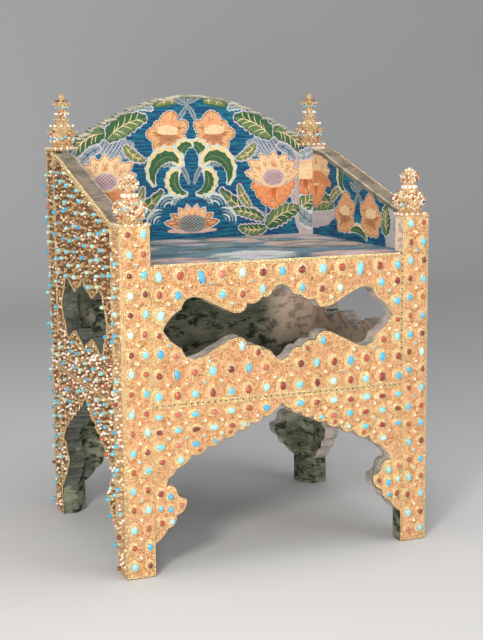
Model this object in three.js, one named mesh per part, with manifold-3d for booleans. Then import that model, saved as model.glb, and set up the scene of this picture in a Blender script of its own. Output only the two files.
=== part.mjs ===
// A low ceremonial throne: a wooden carcass on four corner posts, clad outside in gold sheet set with
// stones, lined inside with brocade above the seat and with a printed cloth below it.
// Millimetres, +Z up. The origin is on the floor under the middle of the throne, which faces -Y.
import * as THREE from 'three';
import { mergeVertices } from 'three/addons/utils/BufferGeometryUtils.js';
import Module from 'manifold-3d';

const wasm = await Module();
wasm.setup();

// ---- driving dimensions -------------------------------------------------------------------------
const WIDTH = 630; // gold face to gold face
const DEPTH = 515;
const BACK_FINIAL_TIP = 900; // the whole height
const FRONT_FINIAL_TIP = 748;
const FRONT_POST_TOP = 655; // tops of the wooden posts
const BACK_POST_TOP = 783;
const SEAM = 324; // where panels and aprons meet
const SEAT_TOP = 585; // cloth surface of the seat
const POST = 56; // gold-clad side of a square post
const BOARD = 29; // wooden boards
const SHEET = 1.5; // gold sheet
const CLOTH = 1.2; // linings
const SEAT_CLOTH = 3; // seat covering with its padding
const SEAT_BOARD = 21;
const GAP = 0.3; // clearance between touching pieces
const FLOOR_LIFT = 1.5; // sheets and linings end this far above the floor
const CAP = 3.3; // plates on top of the posts
const EDGING_FOLD = 10; // how far the arm edging reaches down inside
const FINE = 3; // straight steps on each arc of the gold sheets
const COARSE = 2; // of the wood behind them
const PLAIN = 1; // and of the cloth below the seat

// ---- derived places -----------------------------------------------------------------------------
const HALF_W = WIDTH / 2;
const HALF_D = DEPTH / 2;
const SKIN = SHEET + GAP; // from the gold face in to the wood
const POST_IN_X = HALF_W - POST; // inner faces of the posts
const POST_IN_Y = HALF_D - POST;
const BOARD_IN_X = HALF_W - SKIN - BOARD; // inner faces of the boards
const BOARD_IN_Y = HALF_D - SKIN - BOARD;
const SEAT_BOARD_TOP = SEAT_TOP - SEAT_CLOTH - GAP;
const SEAT_BOARD_LOW = SEAT_BOARD_TOP - SEAT_BOARD;
const PANEL_TOP = SEAT_BOARD_LOW - GAP; // what stands under the seat board
const EDGING_DROP = CLOTH + GAP; // room for the edging on the arm boards
const LINING_OUT = -SKIN - BOARD - GAP; // back of a lining, measured from the gold face

const CORNERS = [
  { name: 'front_left', sx: -1, sy: -1, top: FRONT_POST_TOP },
  { name: 'front_right', sx: 1, sy: -1, top: FRONT_POST_TOP },
  { name: 'back_left', sx: -1, sy: 1, top: BACK_POST_TOP },
  { name: 'back_right', sx: 1, sy: 1, top: BACK_POST_TOP },
];

// ---- materials ----------------------------------------------------------------------------------
const paint = (color, roughness, metalness = 0) =>
  new THREE.MeshStandardMaterial({ color, roughness, metalness });
const WOOD = paint(0x6b4a30, 0.7);
const GOLD = paint(0xd9a35f, 0.35, 1);
const BROCADE = paint(0x1f5c74, 0.6);
const UNDER_CLOTH = paint(0x6c7560, 0.85);
const EDGING = paint(0xa8917a, 0.8);

const throne = new THREE.Group();
throne.name = 'throne';

function add(name, geometry, material) {
  const mesh = new THREE.Mesh(geometry, material);
  mesh.name = name;
  throne.add(mesh);
}

// ---- helpers ------------------------------------------------------------------------------------
const at = (x, y) => new THREE.Vector2(x, y);

// Points after a, up to b, on an arc whose rise off the chord is bulge times the chord's length.
// A positive bulge lies to the left of the way from a to b.
function arc(a, b, bulge, steps) {
  const chord = b.clone().sub(a);
  const left = at(-chord.y, chord.x);
  const angle = 4 * Math.atan(2 * Math.abs(bulge));
  const radius = 0.5 / Math.sin(angle / 2);
  const points = [];
  for (let i = 1; i <= steps; i += 1) {
    const turn = angle * (i / steps - 0.5);
    const along = 0.5 + radius * Math.sin(turn);
    const rise = radius * (Math.cos(turn) - Math.cos(angle / 2)) * Math.sign(bulge);
    points.push(a.clone().addScaledVector(chord, along).addScaledVector(left, rise));
  }
  return points;
}

// Joins stops with arcs: each stop is [point, bulge of the arc that leads to it].
function arcs(start, stops, steps) {
  const points = [start];
  for (const [stop, bulge] of stops) {
    const last = points[points.length - 1];
    points.push(...(bulge ? arc(last, stop, bulge, steps) : [stop]));
  }
  return points;
}

const mirrored = (points) => points.map((p) => at(-p.x, p.y)).reverse();

function toManifold(geometry) {
  const bare = geometry.index ? geometry.toNonIndexed() : geometry.clone();
  bare.deleteAttribute('normal');
  bare.deleteAttribute('uv');
  const merged = mergeVertices(bare, 1e-4);
  const vertProperties = new Float32Array(merged.attributes.position.array);
  const triVerts = new Uint32Array(merged.index.array);
  return new wasm.Manifold(new wasm.Mesh({ numProp: 3, vertProperties, triVerts }));
}

function toGeometry(solid) {
  const mesh = solid.getMesh();
  const geometry = new THREE.BufferGeometry();
  geometry.setAttribute('position', new THREE.BufferAttribute(mesh.vertProperties, 3));
  geometry.setIndex(new THREE.BufferAttribute(mesh.triVerts, 1));
  return geometry;
}

function fuse(geometries) {
  return toGeometry(geometries.map(toManifold).reduce((whole, part) => whole.add(part)));
}

// A plate from an outline in the (u, z) plane, thick along local +w.
function plate(outline, thickness, holes = []) {
  const shape = new THREE.Shape(outline);
  shape.holes = holes.map((hole) => new THREE.Path(hole));
  return new THREE.ExtrudeGeometry(shape, { depth: thickness, bevelEnabled: false });
}

// Stands plates and stones on one of the four faces. u runs along the face as seen from outside,
// z stays up, and w points out of the throne: w = 0 is the gold face.
function standOnFace(geometry, face) {
  const turn = { front: 0, right: Math.PI / 2, back: Math.PI, left: -Math.PI / 2 }[face];
  const out = face === 'front' || face === 'back' ? HALF_D : HALF_W;
  return geometry.rotateX(Math.PI / 2).translate(0, -out, 0).rotateZ(turn);
}

// ---- outlines -----------------------------------------------------------------------------------
// The lower edge of an apron, from the foot on the right over the lobed arch to the foot on the
// left. post is the half width between the posts, lobeCount the lobes on each side of the top.
const FOOT_EDGE = 64; // height at which a bracket leaves its post
const SPRING = at(72.5, 226.5); // end of the lobes: in from the post, up from the floor
const LOBE_BULGE = 0.23;

function archEdge(post, lobeCount, crown, steps) {
  const inward = (u, z) => at(post - u, z);
  const half = arcs(inward(0, FOOT_EDGE), [
    [inward(25, 90), 0.08],
    [inward(42, 113), 0.22],
    [inward(62, 143), 0.22],
    [inward(50, 147.5), 0],
    [inward(44, 158), -0.12],
    [inward(24, 171.5), 0.26],
    [inward(38.5, 192.5), -0.2],
    [inward(52, 206), -0.14],
    [inward(SPRING.x, SPRING.y), 0.14],
  ], Math.min(steps, COARSE));
  const span = post - SPRING.x;
  const rise = crown - 9 - SPRING.y;
  for (let k = lobeCount - 1; k >= 1; k -= 1) {
    const u = span * (k / lobeCount) ** 1.25;
    const cusp = at(u, SPRING.y + rise * (1 - u / span));
    half.push(...arc(half[half.length - 1], cusp, LOBE_BULGE, steps));
  }
  half.push(...arc(half[half.length - 1], at(0, crown), LOBE_BULGE - 0.05, steps));
  return [...half, ...mirrored(half).slice(1)];
}

// The three-part cusped opening: one quarter by its cusps and neck, then mirrored both ways.
function cartouche({ halfLength, centre, crown, lobe, neck }, steps) {
  const q = (share, rise) => at(share * halfLength, rise);
  const cuspRise = (share) => neck + (crown - neck) * share;
  const quarter = arcs(q(1, 0), [
    [q(0.845, lobe * 0.64), -0.08],
    [q(0.735, lobe), -0.22],
    [q(0.6, lobe + (neck - lobe) * 0.36), -0.06],
    [q(0.47, lobe + (neck - lobe) * 0.8), 0],
    [q(0.37, neck), 0.07],
    [q(0.298, cuspRise(0.36)), 0.2],
    [q(0.168, cuspRise(0.58)), 0.19],
    [q(0.084, cuspRise(0.71)), 0.2],
    [q(0, crown), -0.14],
  ], steps);
  const top = [...quarter, ...mirrored(quarter).slice(1)];
  const bottom = top.slice(1, -1).reverse().map((p) => at(p.x, -p.y));
  return [...top, ...bottom].map((p) => at(p.x, p.y + centre));
}

const FRONT_OPENING = { halfLength: 238, centre: 464.5, crown: 72, lobe: 58, neck: 23 };
const SIDE_OPENING = { halfLength: 162, centre: 464, crown: 66, lobe: 60, neck: 39 };

// The lobed arch on top of the back, from right to left.
const BACK_CROWN = 895;
const BACK_SHOULDER = 799; // where the arch meets the posts
const CROWN_LOBE = 62; // half width of the wide lobe at the top
const BACK_LOBES = 7;

function backTop(post, steps) {
  const rise = BACK_CROWN - BACK_SHOULDER;
  const half = [at(post, BACK_SHOULDER)];
  for (let k = 1; k <= BACK_LOBES; k += 1) {
    const u = post - ((post - CROWN_LOBE) * k) / BACK_LOBES;
    const cusp = at(u, BACK_SHOULDER + rise * (1 - (u / post) ** 1.7));
    half.push(...arc(half[half.length - 1], cusp, -0.17, steps));
  }
  half.push(...arc(half[half.length - 1], at(0, BACK_CROWN), -0.05, steps));
  return [...half, ...mirrored(half).slice(1)];
}

// The top of an arm as seen on the left face, from the front post (right) to the back post (left).
const ARM_BACK = 776;
const ARM_SHOULDER = at(112, 757);
const ARM_FRONT = 661;

function armTop(post, drop, steps) {
  const front = at(post, ARM_FRONT - drop);
  const shoulder = at(-ARM_SHOULDER.x, ARM_SHOULDER.y - drop);
  return arcs(front, [[shoulder, 0], [at(-post, ARM_BACK - drop), -0.05]], steps);
}

// ---- the four faces -----------------------------------------------------------------------------
// Each face: its half width between posts, how many lobes its arch has and how high it is.
const BETWEEN_X = POST_IN_X - GAP;
const BETWEEN_Y = POST_IN_Y - GAP;
const FACES = [
  { face: 'front', stem: 'front', side: '', post: BETWEEN_X, lobes: 7, crown: 313, hole: FRONT_OPENING },
  { face: 'back', stem: 'back', side: '', post: BETWEEN_X, lobes: 7, crown: 313 },
  { face: 'left', stem: 'side', side: '_left', post: BETWEEN_Y, lobes: 5, crown: 303, hole: SIDE_OPENING },
  { face: 'right', stem: 'side', side: '_right', post: BETWEEN_Y, lobes: 5, crown: 303, hole: SIDE_OPENING },
];

// The front of the throne is towards +u on the left face and towards -u on the right one.
const facing = (face, points) => (face === 'right' ? mirrored(points) : points);

function panelOutline({ face, post }, bottom, top, steps) {
  return facing(face, [at(-post, bottom), at(post, bottom), ...top(post, steps)]);
}

function apronOutline({ post, lobes, crown }, top, steps) {
  return [...archEdge(post, lobes, crown, steps), at(-post, top), at(post, top)];
}

const level = (z) => (post) => [at(post, z), at(-post, z)];
const armAt = (drop) => (post, steps) => armTop(post, drop, steps);
const holesOf = ({ hole }, steps) => (hole ? [cartouche(hole, steps)] : []);

// ---- stones -------------------------------------------------------------------------------------
// The larger stones are low four-sided studs on the gold: [u, z]. Each is sunk a little to join it.
const STONE = 6.5; // radius over the collet
const STONE_RISE = 5;
const STONE_SIDES = 4;
const STONE_SINK = 0.7;
const EDGE_ROOM = 3; // left free between a stud and an edge
const PITCH = 35.5; // along the rows of the front

function row(z, pitch, count, shift = 0) {
  return Array.from({ length: 2 * count + 1 }, (_, i) => at((i - count + shift) * pitch, z));
}

function stud({ x, y }) {
  const height = STONE_RISE + STONE_SINK;
  const cone = new THREE.ConeGeometry(STONE, height, STONE_SIDES);
  return cone.rotateX(Math.PI / 2).translate(x, y, height / 2 - STONE_SINK);
}

function inside(p, outline) {
  let odd = false;
  outline.forEach((a, i) => {
    const b = outline[(i + 1) % outline.length];
    const spans = a.y > p.y !== b.y > p.y;
    if (spans && p.x < a.x + ((p.y - a.y) / (b.y - a.y)) * (b.x - a.x)) odd = !odd;
  });
  return odd;
}

function distanceToEdge(p, outline) {
  const distances = outline.map((a, i) => {
    const way = outline[(i + 1) % outline.length].clone().sub(a);
    const share = THREE.MathUtils.clamp(p.clone().sub(a).dot(way) / way.lengthSq(), 0, 1);
    return p.distanceTo(a.clone().addScaledVector(way, share));
  });
  return Math.min(...distances);
}

// Keeps the stones that lie whole on a sheet.
function onSheet(stones, outline, holes) {
  const clear = (p) => [outline, ...holes].every((edge) => distanceToEdge(p, edge) > STONE + EDGE_ROOM);
  return stones.filter((p) => inside(p, outline) && !holes.some((hole) => inside(p, hole)) && clear(p));
}

const BRACKET_STONE = at(237, 145);
const FRONT_PANEL_ROWS = [
  ...row(341, PITCH, 7, 0.5),
  ...row(382, PITCH, 7),
  ...row(419, 2 * PITCH, 3),
  ...row(492, 2 * PITCH, 3),
  ...row(527, 2 * PITCH, 3),
  ...row(563, 41, 6),
];
const FRONT_APRON_ROWS = [
  ...row(311, PITCH, 7),
  ...row(282, PITCH, 7, 0.5),
  ...row(250, 2 * PITCH, 3, 0.5),
  ...row(222, 2 * PITCH, 3, 0.2),
  at(-BRACKET_STONE.x, BRACKET_STONE.y),
  BRACKET_STONE,
];
const PLAIN_PANEL_ROWS = [342, 600, 700].flatMap((z) => row(z, 2 * PITCH, 3));
const PLAIN_APRON_ROWS = row(290, 2 * PITCH, 2);

// ---- building the faces -------------------------------------------------------------------------
function standPlate(face, outline, out, thickness, holes = []) {
  return standOnFace(plate(outline, thickness, holes).translate(0, 0, out - thickness), face);
}

function goldSheet(face, outline, holes, stones) {
  const sheet = standPlate(face, outline, 0, SHEET, holes);
  const studs = onSheet(stones, outline, holes).map((p) => standOnFace(stud(p), face));
  return fuse([sheet, ...studs]);
}

for (const spec of FACES) {
  const { face, stem, side } = spec;
  const isFront = face === 'front';
  const crest = { front: level(PANEL_TOP), back: backTop }[face] ?? armAt(EDGING_DROP);
  const goldCrest = { front: level(SEAT_BOARD_TOP), back: backTop }[face] ?? armAt(0);

  const board = panelOutline(spec, SEAM + GAP / 2, crest, COARSE);
  add(`${stem}_panel${side}`, standPlate(face, board, -SKIN, BOARD, holesOf(spec, COARSE)), WOOD);
  const apron = apronOutline(spec, SEAM - GAP / 2, COARSE);
  add(`${stem}_apron${side}`, standPlate(face, apron, -SKIN, BOARD), WOOD);

  const steps = face === 'back' ? COARSE : FINE;
  const gold = panelOutline(spec, SEAM + GAP / 2, goldCrest, steps);
  const panelStones = isFront ? FRONT_PANEL_ROWS : PLAIN_PANEL_ROWS;
  add(`${stem}_panel_sheet${side}`, goldSheet(face, gold, holesOf(spec, steps), panelStones), GOLD);
  const goldApron = apronOutline(spec, SEAM - GAP / 2, steps);
  const apronStones = isFront ? FRONT_APRON_ROWS : PLAIN_APRON_ROWS;
  add(`${stem}_apron_sheet${side}`, goldSheet(face, goldApron, [], apronStones), GOLD);

  const under = apronOutline(spec, PANEL_TOP, PLAIN);
  const underLining = standPlate(face, under, LINING_OUT, CLOTH, holesOf(spec, PLAIN));
  add(`under_lining_${face}`, underLining, UNDER_CLOTH);
}

// ---- linings above the seat ---------------------------------------------------------------------
const LINING_LOW = SEAT_BOARD_TOP + GAP;
const BACK_SPEC = FACES.find(({ face }) => face === 'back');
const backLining = panelOutline(BACK_SPEC, LINING_LOW, backTop, COARSE);
add('back_lining', standPlate('back', backLining, LINING_OUT, CLOTH), BROCADE);

for (const spec of FACES.filter(({ stem }) => stem === 'side')) {
  const { face, side, post } = spec;
  const lining = panelOutline(spec, LINING_LOW, armAt(EDGING_FOLD + GAP), COARSE);
  add(`arm_lining${side}`, standPlate(face, lining, LINING_OUT, CLOTH), BROCADE);

  // The edging lies on the board and folds down over the top of the lining.
  const top = armTop(post, 0, COARSE);
  const strip = (depth) => facing(face, [...top, ...armTop(post, depth, COARSE).reverse()]);
  const cover = standPlate(face, strip(CLOTH), -SKIN, BOARD + GAP + CLOTH);
  const fold = standPlate(face, strip(EDGING_FOLD), LINING_OUT, CLOTH);
  add(`arm_edging${side}`, fuse([cover, fold]), EDGING);
}

// ---- corner posts -------------------------------------------------------------------------------
// Plans are drawn for the corner at +X +Y. An upright is a plan raised from low to high.
const upright = (corner, plan, low, high) => {
  const outline = plan.map(([x, y]) => at(corner.sx * x, corner.sy * y));
  return plate(outline, high - low).translate(0, 0, low);
};

const postPlan = (skin) => [
  [HALF_W - skin, HALF_D - skin],
  [POST_IN_X, HALF_D - skin],
  [POST_IN_X, BOARD_IN_Y],
  [BOARD_IN_X, POST_IN_Y],
  [HALF_W - skin, POST_IN_Y],
];
const ANGLE_PLAN = [
  [HALF_W, HALF_D],
  [POST_IN_X, HALF_D],
  [POST_IN_X, HALF_D - SHEET],
  [HALF_W - SHEET, HALF_D - SHEET],
  [HALF_W - SHEET, POST_IN_Y],
  [HALF_W, POST_IN_Y],
];
const STRIP_INSET = 1.1; // the corner strips stop short of the linings beside them
const NEAR = GAP * Math.SQRT1_2; // steps square to the cut corner, along each axis
const FAR = (GAP + CLOTH) * Math.SQRT1_2;
const STRIP_PLAN = [
  [POST_IN_X + STRIP_INSET - NEAR, BOARD_IN_Y - STRIP_INSET - NEAR],
  [BOARD_IN_X - STRIP_INSET - NEAR, POST_IN_Y + STRIP_INSET - NEAR],
  [BOARD_IN_X - STRIP_INSET - FAR, POST_IN_Y + STRIP_INSET - FAR],
  [POST_IN_X + STRIP_INSET - FAR, BOARD_IN_Y - STRIP_INSET - FAR],
];

const POST_ROW = 36.3; // height between stones on the posts
const POST_FIRST_STONE = 24;
const POST_COLUMN = 14.5; // the stones change sides of the middle line

function postStuds({ sx, sy, top }) {
  const faces = [
    { face: sy < 0 ? 'front' : 'back', middle: -sx * sy * (HALF_W - POST / 2) },
    { face: sx < 0 ? 'left' : 'right', middle: sx * sy * (HALF_D - POST / 2) },
  ];
  const count = Math.floor((top - STONE - 2 - POST_FIRST_STONE) / POST_ROW) + 1;
  return faces.flatMap(({ face, middle }) =>
    Array.from({ length: count }, (_, i) => {
      const column = middle + (i % 2 ? POST_COLUMN : -POST_COLUMN);
      return standOnFace(stud(at(column, POST_FIRST_STONE + i * POST_ROW)), face);
    }),
  );
}

for (const corner of CORNERS) {
  const { name, top } = corner;
  add(`post_${name}`, upright(corner, postPlan(SKIN), 0, top), WOOD);
  const angle = upright(corner, ANGLE_PLAN, FLOOR_LIFT, top);
  add(`post_sheet_${name}`, fuse([angle, ...postStuds(corner)]), GOLD);
  add(`post_cap_${name}`, upright(corner, postPlan(0), top + GAP, top + CAP + GAP), GOLD);
  add(`leg_lining_${name}`, upright(corner, STRIP_PLAN, FLOOR_LIFT, PANEL_TOP), UNDER_CLOTH);
  add(`corner_lining_${name}`, upright(corner, STRIP_PLAN, LINING_LOW, top), BROCADE);
}

// ---- finials ------------------------------------------------------------------------------------
const FINIAL_SIDES = 10;
const PEARL = 5;
const PEARL_COUNT = 6;

// Heights are above the finial's foot; a profile runs from the foot to the tip.
const FRONT_PROFILE = arcs(at(0, 0), [
  [at(21, 0), 0],
  [at(24, 10), 0],
  [at(22, 40), -0.3],
  [at(14, 46), 0],
  [at(14, 57), 0],
  [at(10, 82), -0.32],
  [at(5, 86), 0],
  [at(0, 89), 0],
], COARSE);
const BACK_PROFILE = arcs(at(0, 0), [
  [at(20, 0), 0],
  [at(20, 8), 0],
  [at(21, 46), -0.15],
  [at(12, 58), 0],
  [at(8, 79), 0],
  [at(12, 85), 0],
  [at(12, 94), 0],
  [at(7, 99), 0],
  [at(0, 113), -0.12],
], COARSE);

// Turns the profile and scales its height so that the tip is where it should be.
function lathe(profile, foot, tip) {
  const rise = (tip - foot) / profile[profile.length - 1].y;
  const points = profile.map((p) => at(p.x, p.y * rise));
  return new THREE.LatheGeometry(points, FINIAL_SIDES).rotateX(Math.PI / 2).translate(0, 0, foot);
}

function pearlRing(radius, height) {
  return Array.from({ length: PEARL_COUNT }, (_, i) => {
    const turn = (2 * Math.PI * i) / PEARL_COUNT;
    const pearl = new THREE.OctahedronGeometry(PEARL);
    return pearl.translate(radius * Math.cos(turn), radius * Math.sin(turn), height);
  });
}

for (const { name, sx, sy, top } of CORNERS) {
  const foot = top + CAP + 2 * GAP;
  const isFront = sy < 0;
  const tip = isFront ? FRONT_FINIAL_TIP : BACK_FINIAL_TIP;
  const body = lathe(isFront ? FRONT_PROFILE : BACK_PROFILE, foot, tip);
  const pearls = isFront ? [] : pearlRing(26, foot + 33);
  const finial = fuse([body, ...pearls]);
  add(`finial_${name}`, finial.translate(sx * (HALF_W - POST / 2), sy * (HALF_D - POST / 2), 0), GOLD);
}

// ---- seat ---------------------------------------------------------------------------------------
// The seat fills the space between the boards and fits round the cut corners of the posts; in front
// it lies on the rail, between the front posts. inset is its clearance from the wood.
function seatPlan(front, inset) {
  const side = BOARD_IN_X - inset;
  const back = BOARD_IN_Y - inset;
  const cut = POST_IN_X + BOARD_IN_Y - inset * Math.SQRT2; // x + y along a cut corner
  const between = POST_IN_X - GAP;
  const half = [
    at(between, front),
    at(between, between - cut),
    at(side, side - cut),
    at(side, cut - side),
    at(cut - back, back),
  ];
  return [...half, ...mirrored(half)];
}

const seatBoard = plate(seatPlan(SKIN - HALF_D, GAP), SEAT_BOARD);
add('seat_board', seatBoard.translate(0, 0, SEAT_BOARD_LOW), WOOD);
const seatCover = plate(seatPlan(-HALF_D, CLOTH + 2 * GAP), SEAT_CLOTH);
add('seat_cover', seatCover.translate(0, 0, SEAT_TOP - SEAT_CLOTH), BROCADE);

export default throne;
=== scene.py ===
# %% [markdown]
# # A gold throne over a wooden frame
#
# The throne is a box of boards between four corner posts. Thin gold sheet, worked in relief and set
# with turquoises, garnets and pearls, covers everything outside. Figured silk lines the inside above
# the seat and a printed cotton lines it below. The packed model brings the wood, the plain sheets and
# the flat cloth at their real size, and this lesson dresses them.

# %% Load the packed throne
import math
import random

import bpy
import numpy as np
from mathutils import Matrix, Vector
from mathutils.geometry import delaunay_2d_cdt


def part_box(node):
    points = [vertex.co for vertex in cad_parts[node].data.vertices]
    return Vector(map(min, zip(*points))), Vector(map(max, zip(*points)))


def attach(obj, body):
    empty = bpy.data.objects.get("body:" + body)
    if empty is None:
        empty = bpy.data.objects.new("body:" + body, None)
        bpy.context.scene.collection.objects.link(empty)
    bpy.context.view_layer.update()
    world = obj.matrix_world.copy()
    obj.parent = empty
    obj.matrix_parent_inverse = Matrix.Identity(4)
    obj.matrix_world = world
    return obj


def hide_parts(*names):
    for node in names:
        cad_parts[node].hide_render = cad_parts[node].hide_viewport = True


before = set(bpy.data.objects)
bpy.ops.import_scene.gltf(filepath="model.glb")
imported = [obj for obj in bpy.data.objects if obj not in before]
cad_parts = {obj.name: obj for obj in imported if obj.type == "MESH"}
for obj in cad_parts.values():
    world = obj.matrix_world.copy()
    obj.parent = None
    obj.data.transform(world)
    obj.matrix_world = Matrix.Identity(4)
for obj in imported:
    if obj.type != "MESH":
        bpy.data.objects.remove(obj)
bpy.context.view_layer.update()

MM = 0.001  # everything below is worked out in millimetres and turned into metres at the end
rng = random.Random(9)

# %% [markdown]
# ## The camera and the lights
#
# The view is from the left of the front, a little above the seat, with a long lens, so that the
# posts stay nearly upright. The camera comes first, so that every later cell can be judged by eye.

# %% Place the camera
VIEW_YAW = math.radians(22.268)
VIEW_PITCH = math.radians(8.646)
VIEW_ROLL = math.radians(-0.503)
VIEW_PLACE = Vector((-1.014597, -2.533887, 0.847836))
LENS = 75.01


def place_camera():
    forward = Vector((math.sin(VIEW_YAW) * math.cos(VIEW_PITCH),
                      math.cos(VIEW_YAW) * math.cos(VIEW_PITCH), -math.sin(VIEW_PITCH)))
    right = Vector((math.cos(VIEW_YAW), -math.sin(VIEW_YAW), 0))
    up = right.cross(forward)
    tilted_right = math.cos(VIEW_ROLL) * right + math.sin(VIEW_ROLL) * up
    tilted_up = math.cos(VIEW_ROLL) * up - math.sin(VIEW_ROLL) * right
    camera = bpy.data.objects.new("camera", bpy.data.cameras.new("camera"))
    camera.data.lens = LENS
    camera.data.sensor_width = 36
    turn = Matrix((tilted_right, tilted_up, -forward)).transposed()
    camera.matrix_world = Matrix.Translation(VIEW_PLACE) @ turn.to_4x4()
    bpy.context.scene.collection.objects.link(camera)
    bpy.context.scene.camera = camera
    return camera


camera = place_camera()
print("camera at", tuple(round(c, 3) for c in camera.matrix_world.translation))

# %% [markdown]
# Gold shows what surrounds it, so the lights are large and soft. The key stands to the left of the
# front, so that every bead and collar has a bright edge. A low light reaches in through the opening
# to the linings, and weak fills keep the rest from going black.

# %% Hang the lights
def area_light(name, place, target, size, power, colour=(1, 1, 1)):
    light = bpy.data.lights.new(name, "AREA")
    light.shape = "DISK"
    light.size = size
    light.energy = power
    light.color = colour
    lamp = bpy.data.objects.new(name, light)
    lamp.location = place
    lamp.rotation_euler = (Vector(target) - Vector(place)).to_track_quat("-Z", "Y").to_euler()
    bpy.context.scene.collection.objects.link(lamp)
    return lamp


def light_room():
    middle = (0, 0, 0.45)
    area_light("key", (-1.9, -2.4, 1.8), middle, 0.7, 60, (1.0, 0.96, 0.90))
    area_light("fill", (2.0, -2.4, 1.2), middle, 1.8, 22, (0.95, 0.97, 1.0))
    area_light("low", (-1.2, -2.7, 0.62), (0.1, 0, 0.42), 0.6, 36, (1.0, 0.95, 0.89))
    area_light("top", (0.1, -0.4, 2.6), middle, 1.4, 22)
    world = bpy.data.worlds.new("room")
    world.use_nodes = True
    world.node_tree.nodes["Background"].inputs["Color"].default_value = (0.86, 0.87, 0.90, 1)
    world.node_tree.nodes["Background"].inputs["Strength"].default_value = 0.42
    bpy.context.scene.world = world
    bpy.context.scene.view_settings.view_transform = "Standard"


light_room()

# %% [markdown]
# ## A small language for finishes
#
# Every finish here is a node graph. Writing it as sums and products is easier to read than wiring,
# so one small class wraps a socket and turns Python's operators into Math nodes.

# %% Wrap a socket so that it can be added and multiplied
class Value:
    """A number that changes over the surface."""

    def __init__(self, finish, socket):
        self.finish = finish
        self.socket = socket

    def _join(self, operation, first, second):
        return self.finish.make("Math", {"operation": operation}, {0: first, 1: second})

    def __add__(self, other):
        return self._join("ADD", self, other)

    def __sub__(self, other):
        return self._join("SUBTRACT", self, other)

    def __rsub__(self, other):
        return self._join("SUBTRACT", other, self)

    def __mul__(self, other):
        return self._join("MULTIPLY", self, other)

    __radd__ = __add__
    __rmul__ = __mul__


# %% [markdown]
# The class below makes any node by one method: the node's own settings go in first, because they
# can change which sockets there are, and then the values or links of its sockets. Colours and
# vectors go through Mix and Vector Math, since a Math node would turn them grey.

# %% Make any node by one method
class Finish:
    """A material under way."""

    def __init__(self, name):
        self.material = bpy.data.materials.new(name)
        self.material.use_nodes = True
        self.tree = self.material.node_tree
        self.tree.nodes.clear()
        self.place = self.make("TexCoord", out="Object")

    def make(self, kind, settings=None, inputs=None, out=0):
        node = self.tree.nodes.new("ShaderNode" + kind)
        for key, value in (settings or {}).items():
            if key == "stops":
                self._set_stops(node, value)
            else:
                setattr(node, key, value)
        for key, value in (inputs or {}).items():
            self._feed(node, key, value)
        names = [s for s in node.outputs if s.enabled]
        socket = names[out] if isinstance(out, int) else node.outputs[out]
        return Value(self, socket)

    def _feed(self, node, key, value):
        if isinstance(key, int):
            socket = node.inputs[key]
        else:
            socket = next(s for s in node.inputs if s.name == key and s.enabled)
        if isinstance(value, Value):
            self.tree.links.new(value.socket, socket)
        elif isinstance(value, tuple) and len(value) == 3 and socket.type == "RGBA":
            socket.default_value = (*value, 1)
        else:
            socket.default_value = value

    def _set_stops(self, node, stops):
        ramp = node.color_ramp
        while len(ramp.elements) < len(stops):
            ramp.elements.new(0.5)
        for element, (position, colour) in zip(ramp.elements, stops):
            element.position = position
            element.color = (*colour, 1)

    def mix(self, share, first, second, blend="MIX"):
        settings = {"data_type": "RGBA", "blend_type": blend}
        return self.make("Mix", settings, {"Factor": share, "A": first, "B": second})

    def step(self, value, low, high):
        """0 below low, 1 above high, and smooth between."""
        settings = {"interpolation_type": "SMOOTHSTEP"}
        return self.make("MapRange", settings, {"Value": value, "From Min": low, "From Max": high})

    def stretched(self, scale):
        return self.make("VectorMath", {"operation": "MULTIPLY"}, {0: self.place, 1: scale})

    def noise(self, scale, detail=3.0, rough=0.5, place=None):
        inputs = {"Vector": place or self.place, "Scale": scale, "Detail": detail, "Roughness": rough}
        return self.make("TexNoise", None, inputs)

    def cells(self, scale, feature="F1"):
        inputs = {"Vector": self.place, "Scale": scale}
        return self.make("TexVoronoi", {"feature": feature}, inputs, "Distance")

    def attribute(self, name, out="Fac"):
        return self.make("Attribute", {"attribute_name": name}, None, out)

    def shades(self, *stops):
        """The tint kept on each stone picks a colour between the stops."""
        return self.make("ValToRGB", {"stops": stops}, {"Fac": self.attribute("tint")})

    def bump(self, height, distance, strength=1.0):
        inputs = {"Height": height, "Distance": distance, "Strength": strength}
        return self.make("Bump", None, inputs)

    def done(self, **sockets):
        inputs = {name.replace("_", " "): value for name, value in sockets.items()}
        shader = self.make("BsdfPrincipled", None, inputs)
        output = self.tree.nodes.new("ShaderNodeOutputMaterial")
        self.tree.links.new(shader.socket, output.inputs["Surface"])
        return self.material


# %% [markdown]
# ## Gold
#
# High-carat gold sheet, beaten up from behind and covered in grains, is bright and warm where it is
# rubbed and reddish brown where dirt and pitch sit in the hollows. Cells and noise at three sizes give
# the hand-worked surface, and the hollows take the brown. Where the relief of the finish is highest,
# the colour turns bright: partly rubbed gold and partly a painted highlight. The sheets of the left
# side are darker than those of the front, in painted shade, and the back and the right side take a
# gold between the two. Wires and collets are cleaner, and the best polished are brightest.

# %% Mix the golds
def worked_gold(name, hollow, middle, bright, size=380.0, rough=0.30, metal=0.55):
    f = Finish(name)
    grains = f.cells(size)
    curls = f.noise(size * 0.36, 4.0, 0.6)
    patches = f.noise(13.0, 3.0, 0.55)
    height = 1.0 - grains * 1.4 + curls * 1.1
    low = f.step(height + patches * 0.3, 0.50, 1.02)
    # Painted highlight, partly rubbed gold: the highest relief takes the bright colour.
    top = f.step(height, 1.00, 1.40)
    redder = f.mix(f.step(patches, 0.45, 0.62) * 0.3, middle, (0.92, 0.46, 0.26))
    colour = f.mix(top * 0.85, f.mix(low, hollow, redder), bright)
    return f.done(Base_Color=colour, Metallic=metal, Roughness=rough + 0.25 - low * 0.22,
                  Normal=f.bump(height, 0.0022))


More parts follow.
